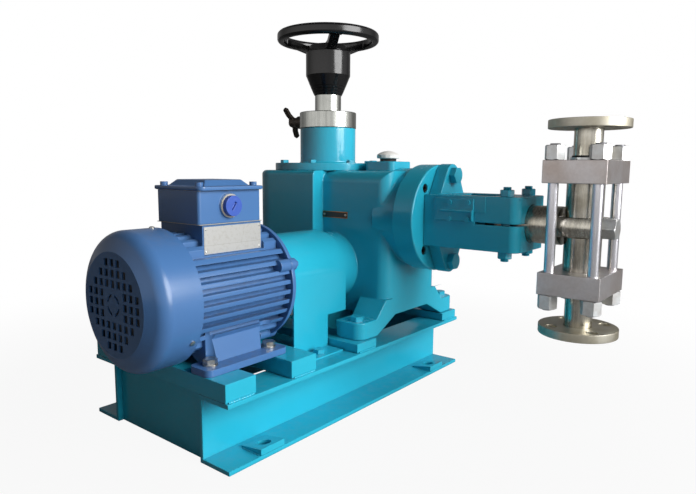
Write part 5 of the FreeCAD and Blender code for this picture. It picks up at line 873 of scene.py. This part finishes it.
class PUMP_OT_stage(PumpPart, bpy.types.Operator):
    """Sets the floor, the soft light and the camera"""
    bl_idname = "pump.stage"
    bl_label = "Stage"

    def execute(self, context):
        self.floor()
        self.room()
        self.lamps()
        self.camera()
        bpy.context.scene.view_settings.view_transform = "Standard"
        return {"FINISHED"}

    def floor(self):
        """A pale floor that keeps the pump's shadow and is white to the camera."""
        bm = bmesh.new()
        bmesh.ops.create_grid(bm, x_segments=1, y_segments=1, size=FLOOR_REACH)
        mesh = bpy.data.meshes.new("floor")
        bm.to_mesh(mesh)
        bm.free()
        made = bpy.data.objects.new("floor", mesh)
        made.location.z = box_of_frame[0].z - 0.5 * MM
        bpy.context.scene.collection.objects.link(made)
        material, tree, shader = new_finish("painted_studio_floor", Roughness=0.9, Base_Color=tuple(colours().backdrop))
        place = add(tree, "TexCoord").outputs["Object"]
        away = add(tree, "VectorMath", links={0: place}, operation="LENGTH")
        near = add(tree, "MapRange", spread(0.4, 1.1, FLOOR_WHITE, 1.0), {0: away.outputs["Value"]},
                   interpolation_type="SMOOTHSTEP")
        white = add(tree, "Emission", {"Color": (1, 1, 1, 1), "Strength": 1.0})
        share = add(tree, "Math", links={0: near, 1: self.white_share(tree)}, operation="MULTIPLY")
        both = add(tree, "MixShader", links={0: share, 1: shader, 2: white})
        end = next(node for node in tree.nodes if node.type == "OUTPUT_MATERIAL")
        tree.links.new(both.outputs[0], end.inputs["Surface"])
        mesh.materials.append(material)

    def room(self):
        """White to the camera. To the pump it is a room with one low window past the liquid end, dim above and
        behind, and a pale wall at the camera's back that mostly metal picks up."""
        world = bpy.data.worlds.new("studio")
        bpy.context.scene.world = world
        world.use_nodes = True
        tree = world.node_tree
        tree.nodes.clear()
        way = add(tree, "TexCoord").outputs["Generated"]
        height = add(tree, "SeparateXYZ", links={0: way}).outputs[2]
        path = add(tree, "LightPath").outputs
        seen = add(tree, "Math", {1: WALL_IN_METAL}, {0: path["Is Glossy Ray"]}, operation="MULTIPLY")
        wall_level = add(tree, "Math", {1: WALL_LIGHT}, {0: seen}, operation="ADD")
        total = None
        for aim, start, strength, top in (
                (WINDOW_WAY, 0.5, WINDOW_LIGHT, 0.75), (WALL_WAY, 0.0, None, 0.9), (BACK_WAY, 0.0, BACK_LIGHT, 0.9)):
            facing = add(tree, "VectorMath", {1: aim}, {0: way}, operation="DOT_PRODUCT")
            lobe = add(tree, "MapRange", spread(start, 1.0), {0: facing.outputs["Value"]},
                       interpolation_type="SMOOTHSTEP")
            shut = add(tree, "MapRange", spread(0.1, top, 1.0, 0.1), {0: height}, interpolation_type="SMOOTHSTEP")
            part = add(tree, "Math", links={0: lobe, 1: shut}, operation="MULTIPLY")
            if strength is None:
                part = add(tree, "Math", links={0: part, 1: wall_level}, operation="MULTIPLY")
            else:
                part = add(tree, "Math", {1: strength}, {0: part}, operation="MULTIPLY")
            if total is None:
                total = add(tree, "Math", {1: ROOM_LIGHT}, {0: part}, operation="ADD")
            else:
                total = add(tree, "Math", links={0: total, 1: part}, operation="ADD")
        inside = add(tree, "Background", {"Color": (1.0, 0.98, 0.97, 1)}, {"Strength": total})
        white = add(tree, "Background", {"Color": (1, 1, 1, 1), "Strength": 1.0})
        both = add(tree, "MixShader", links={0: self.white_share(tree), 1: inside, 2: white})
        add(tree, "OutputWorld", links={"Surface": both})

    def white_share(self, tree):
        """How white the backdrop is: to the camera and through glass in full, and in metal a little."""
        path = add(tree, "LightPath").outputs
        glass = add(tree, "Math", links={0: path["Is Camera Ray"], 1: path["Is Transmission Ray"]},
                    operation="MAXIMUM")
        metal = add(tree, "Math", {1: WHITE_IN_METAL}, {0: path["Is Glossy Ray"]}, operation="MULTIPLY")
        return add(tree, "Math", links={0: glass, 1: metal}, operation="MAXIMUM")

    def lamps(self):
        """A broad lamp at the window, which casts soft shadows, and a faint one above that metal doesn't mirror."""
        for name, (place, size, power) in (("window", WINDOW_LAMP), ("ceiling", CEILING_LAMP)):
            lamp = bpy.data.lights.new(name, "AREA")
            lamp.shape = "DISK"
            lamp.size = size
            lamp.energy = power
            made = bpy.data.objects.new(name, lamp)
            made.visible_glossy = name == "window"
            made.location = place
            made.rotation_euler = (Vector(LAMP_AIM) - made.location).to_track_quat("-Z", "Y").to_euler()
            bpy.context.scene.collection.objects.link(made)

    def camera(self):
        """The photograph's point of view."""
        azimuth, pitch, roll = (math.radians(angle) for angle in CAMERA_TURN)
        ahead = Vector((-math.sin(azimuth) * math.cos(pitch), math.cos(azimuth) * math.cos(pitch), -math.sin(pitch)))
        level = Vector((math.cos(azimuth), math.sin(azimuth), 0))
        above = level.cross(ahead)
        right = level * math.cos(roll) + above * math.sin(roll)
        up = above * math.cos(roll) - level * math.sin(roll)
        lens = bpy.data.cameras.new("camera")
        lens.lens, lens.sensor_width = LENS, FILM_WIDTH
        lens.clip_start = 10 * MM
        made = bpy.data.objects.new("camera", lens)
        axes = Matrix((right, up, -ahead)).transposed().to_4x4()
        made.matrix_world = Matrix.Translation(CAMERA_PLACE) @ axes
        bpy.context.scene.collection.objects.link(made)
        bpy.context.scene.camera = made


class PUMP_PT_panel(bpy.types.Panel):
    """The pump's pieces and finishes"""
    bl_idname = "PUMP_PT_panel"
    bl_label = "Plunger pump"
    bl_space_type = "VIEW_3D"
    bl_region_type = "UI"
    bl_category = "Pump"

    def draw(self, context):
        for group in (context.scene.pump_colours, context.scene.pump_sizes):
            for name in group.bl_rna.properties.keys():
                if name not in ("rna_type", "name"):
                    self.layout.prop(group, name)
        for operator in OPERATORS:
            self.layout.operator(operator.bl_idname)


OPERATORS = (
    PUMP_OT_finishes, PUMP_OT_base, PUMP_OT_guard, PUMP_OT_castings, PUMP_OT_motor, PUMP_OT_adjuster,
    PUMP_OT_liquid_end, PUMP_OT_fasteners, PUMP_OT_plates, PUMP_OT_filler_cap, PUMP_OT_stage,
)
CLASSES = (PumpColours, PumpSizes, *OPERATORS, PUMP_PT_panel)


def register():
    """Makes the classes and the scene's groups known."""
    for cls in CLASSES:
        bpy.utils.register_class(cls)
    bpy.types.Scene.pump_colours = bpy.props.PointerProperty(type=PumpColours)
    bpy.types.Scene.pump_sizes = bpy.props.PointerProperty(type=PumpSizes)


def unregister():
    """Takes back what register made."""
    del bpy.types.Scene.pump_sizes
    del bpy.types.Scene.pump_colours
    for cls in reversed(CLASSES):
        bpy.utils.unregister_class(cls)


def main():
    """Builds every piece and the stage."""
    register()
    for operator in OPERATORS:
        group, name = operator.bl_idname.split(".")
        getattr(getattr(bpy.ops, group), name)()
    bpy.context.view_layer.update()


if __name__ == "__main__":
    main()
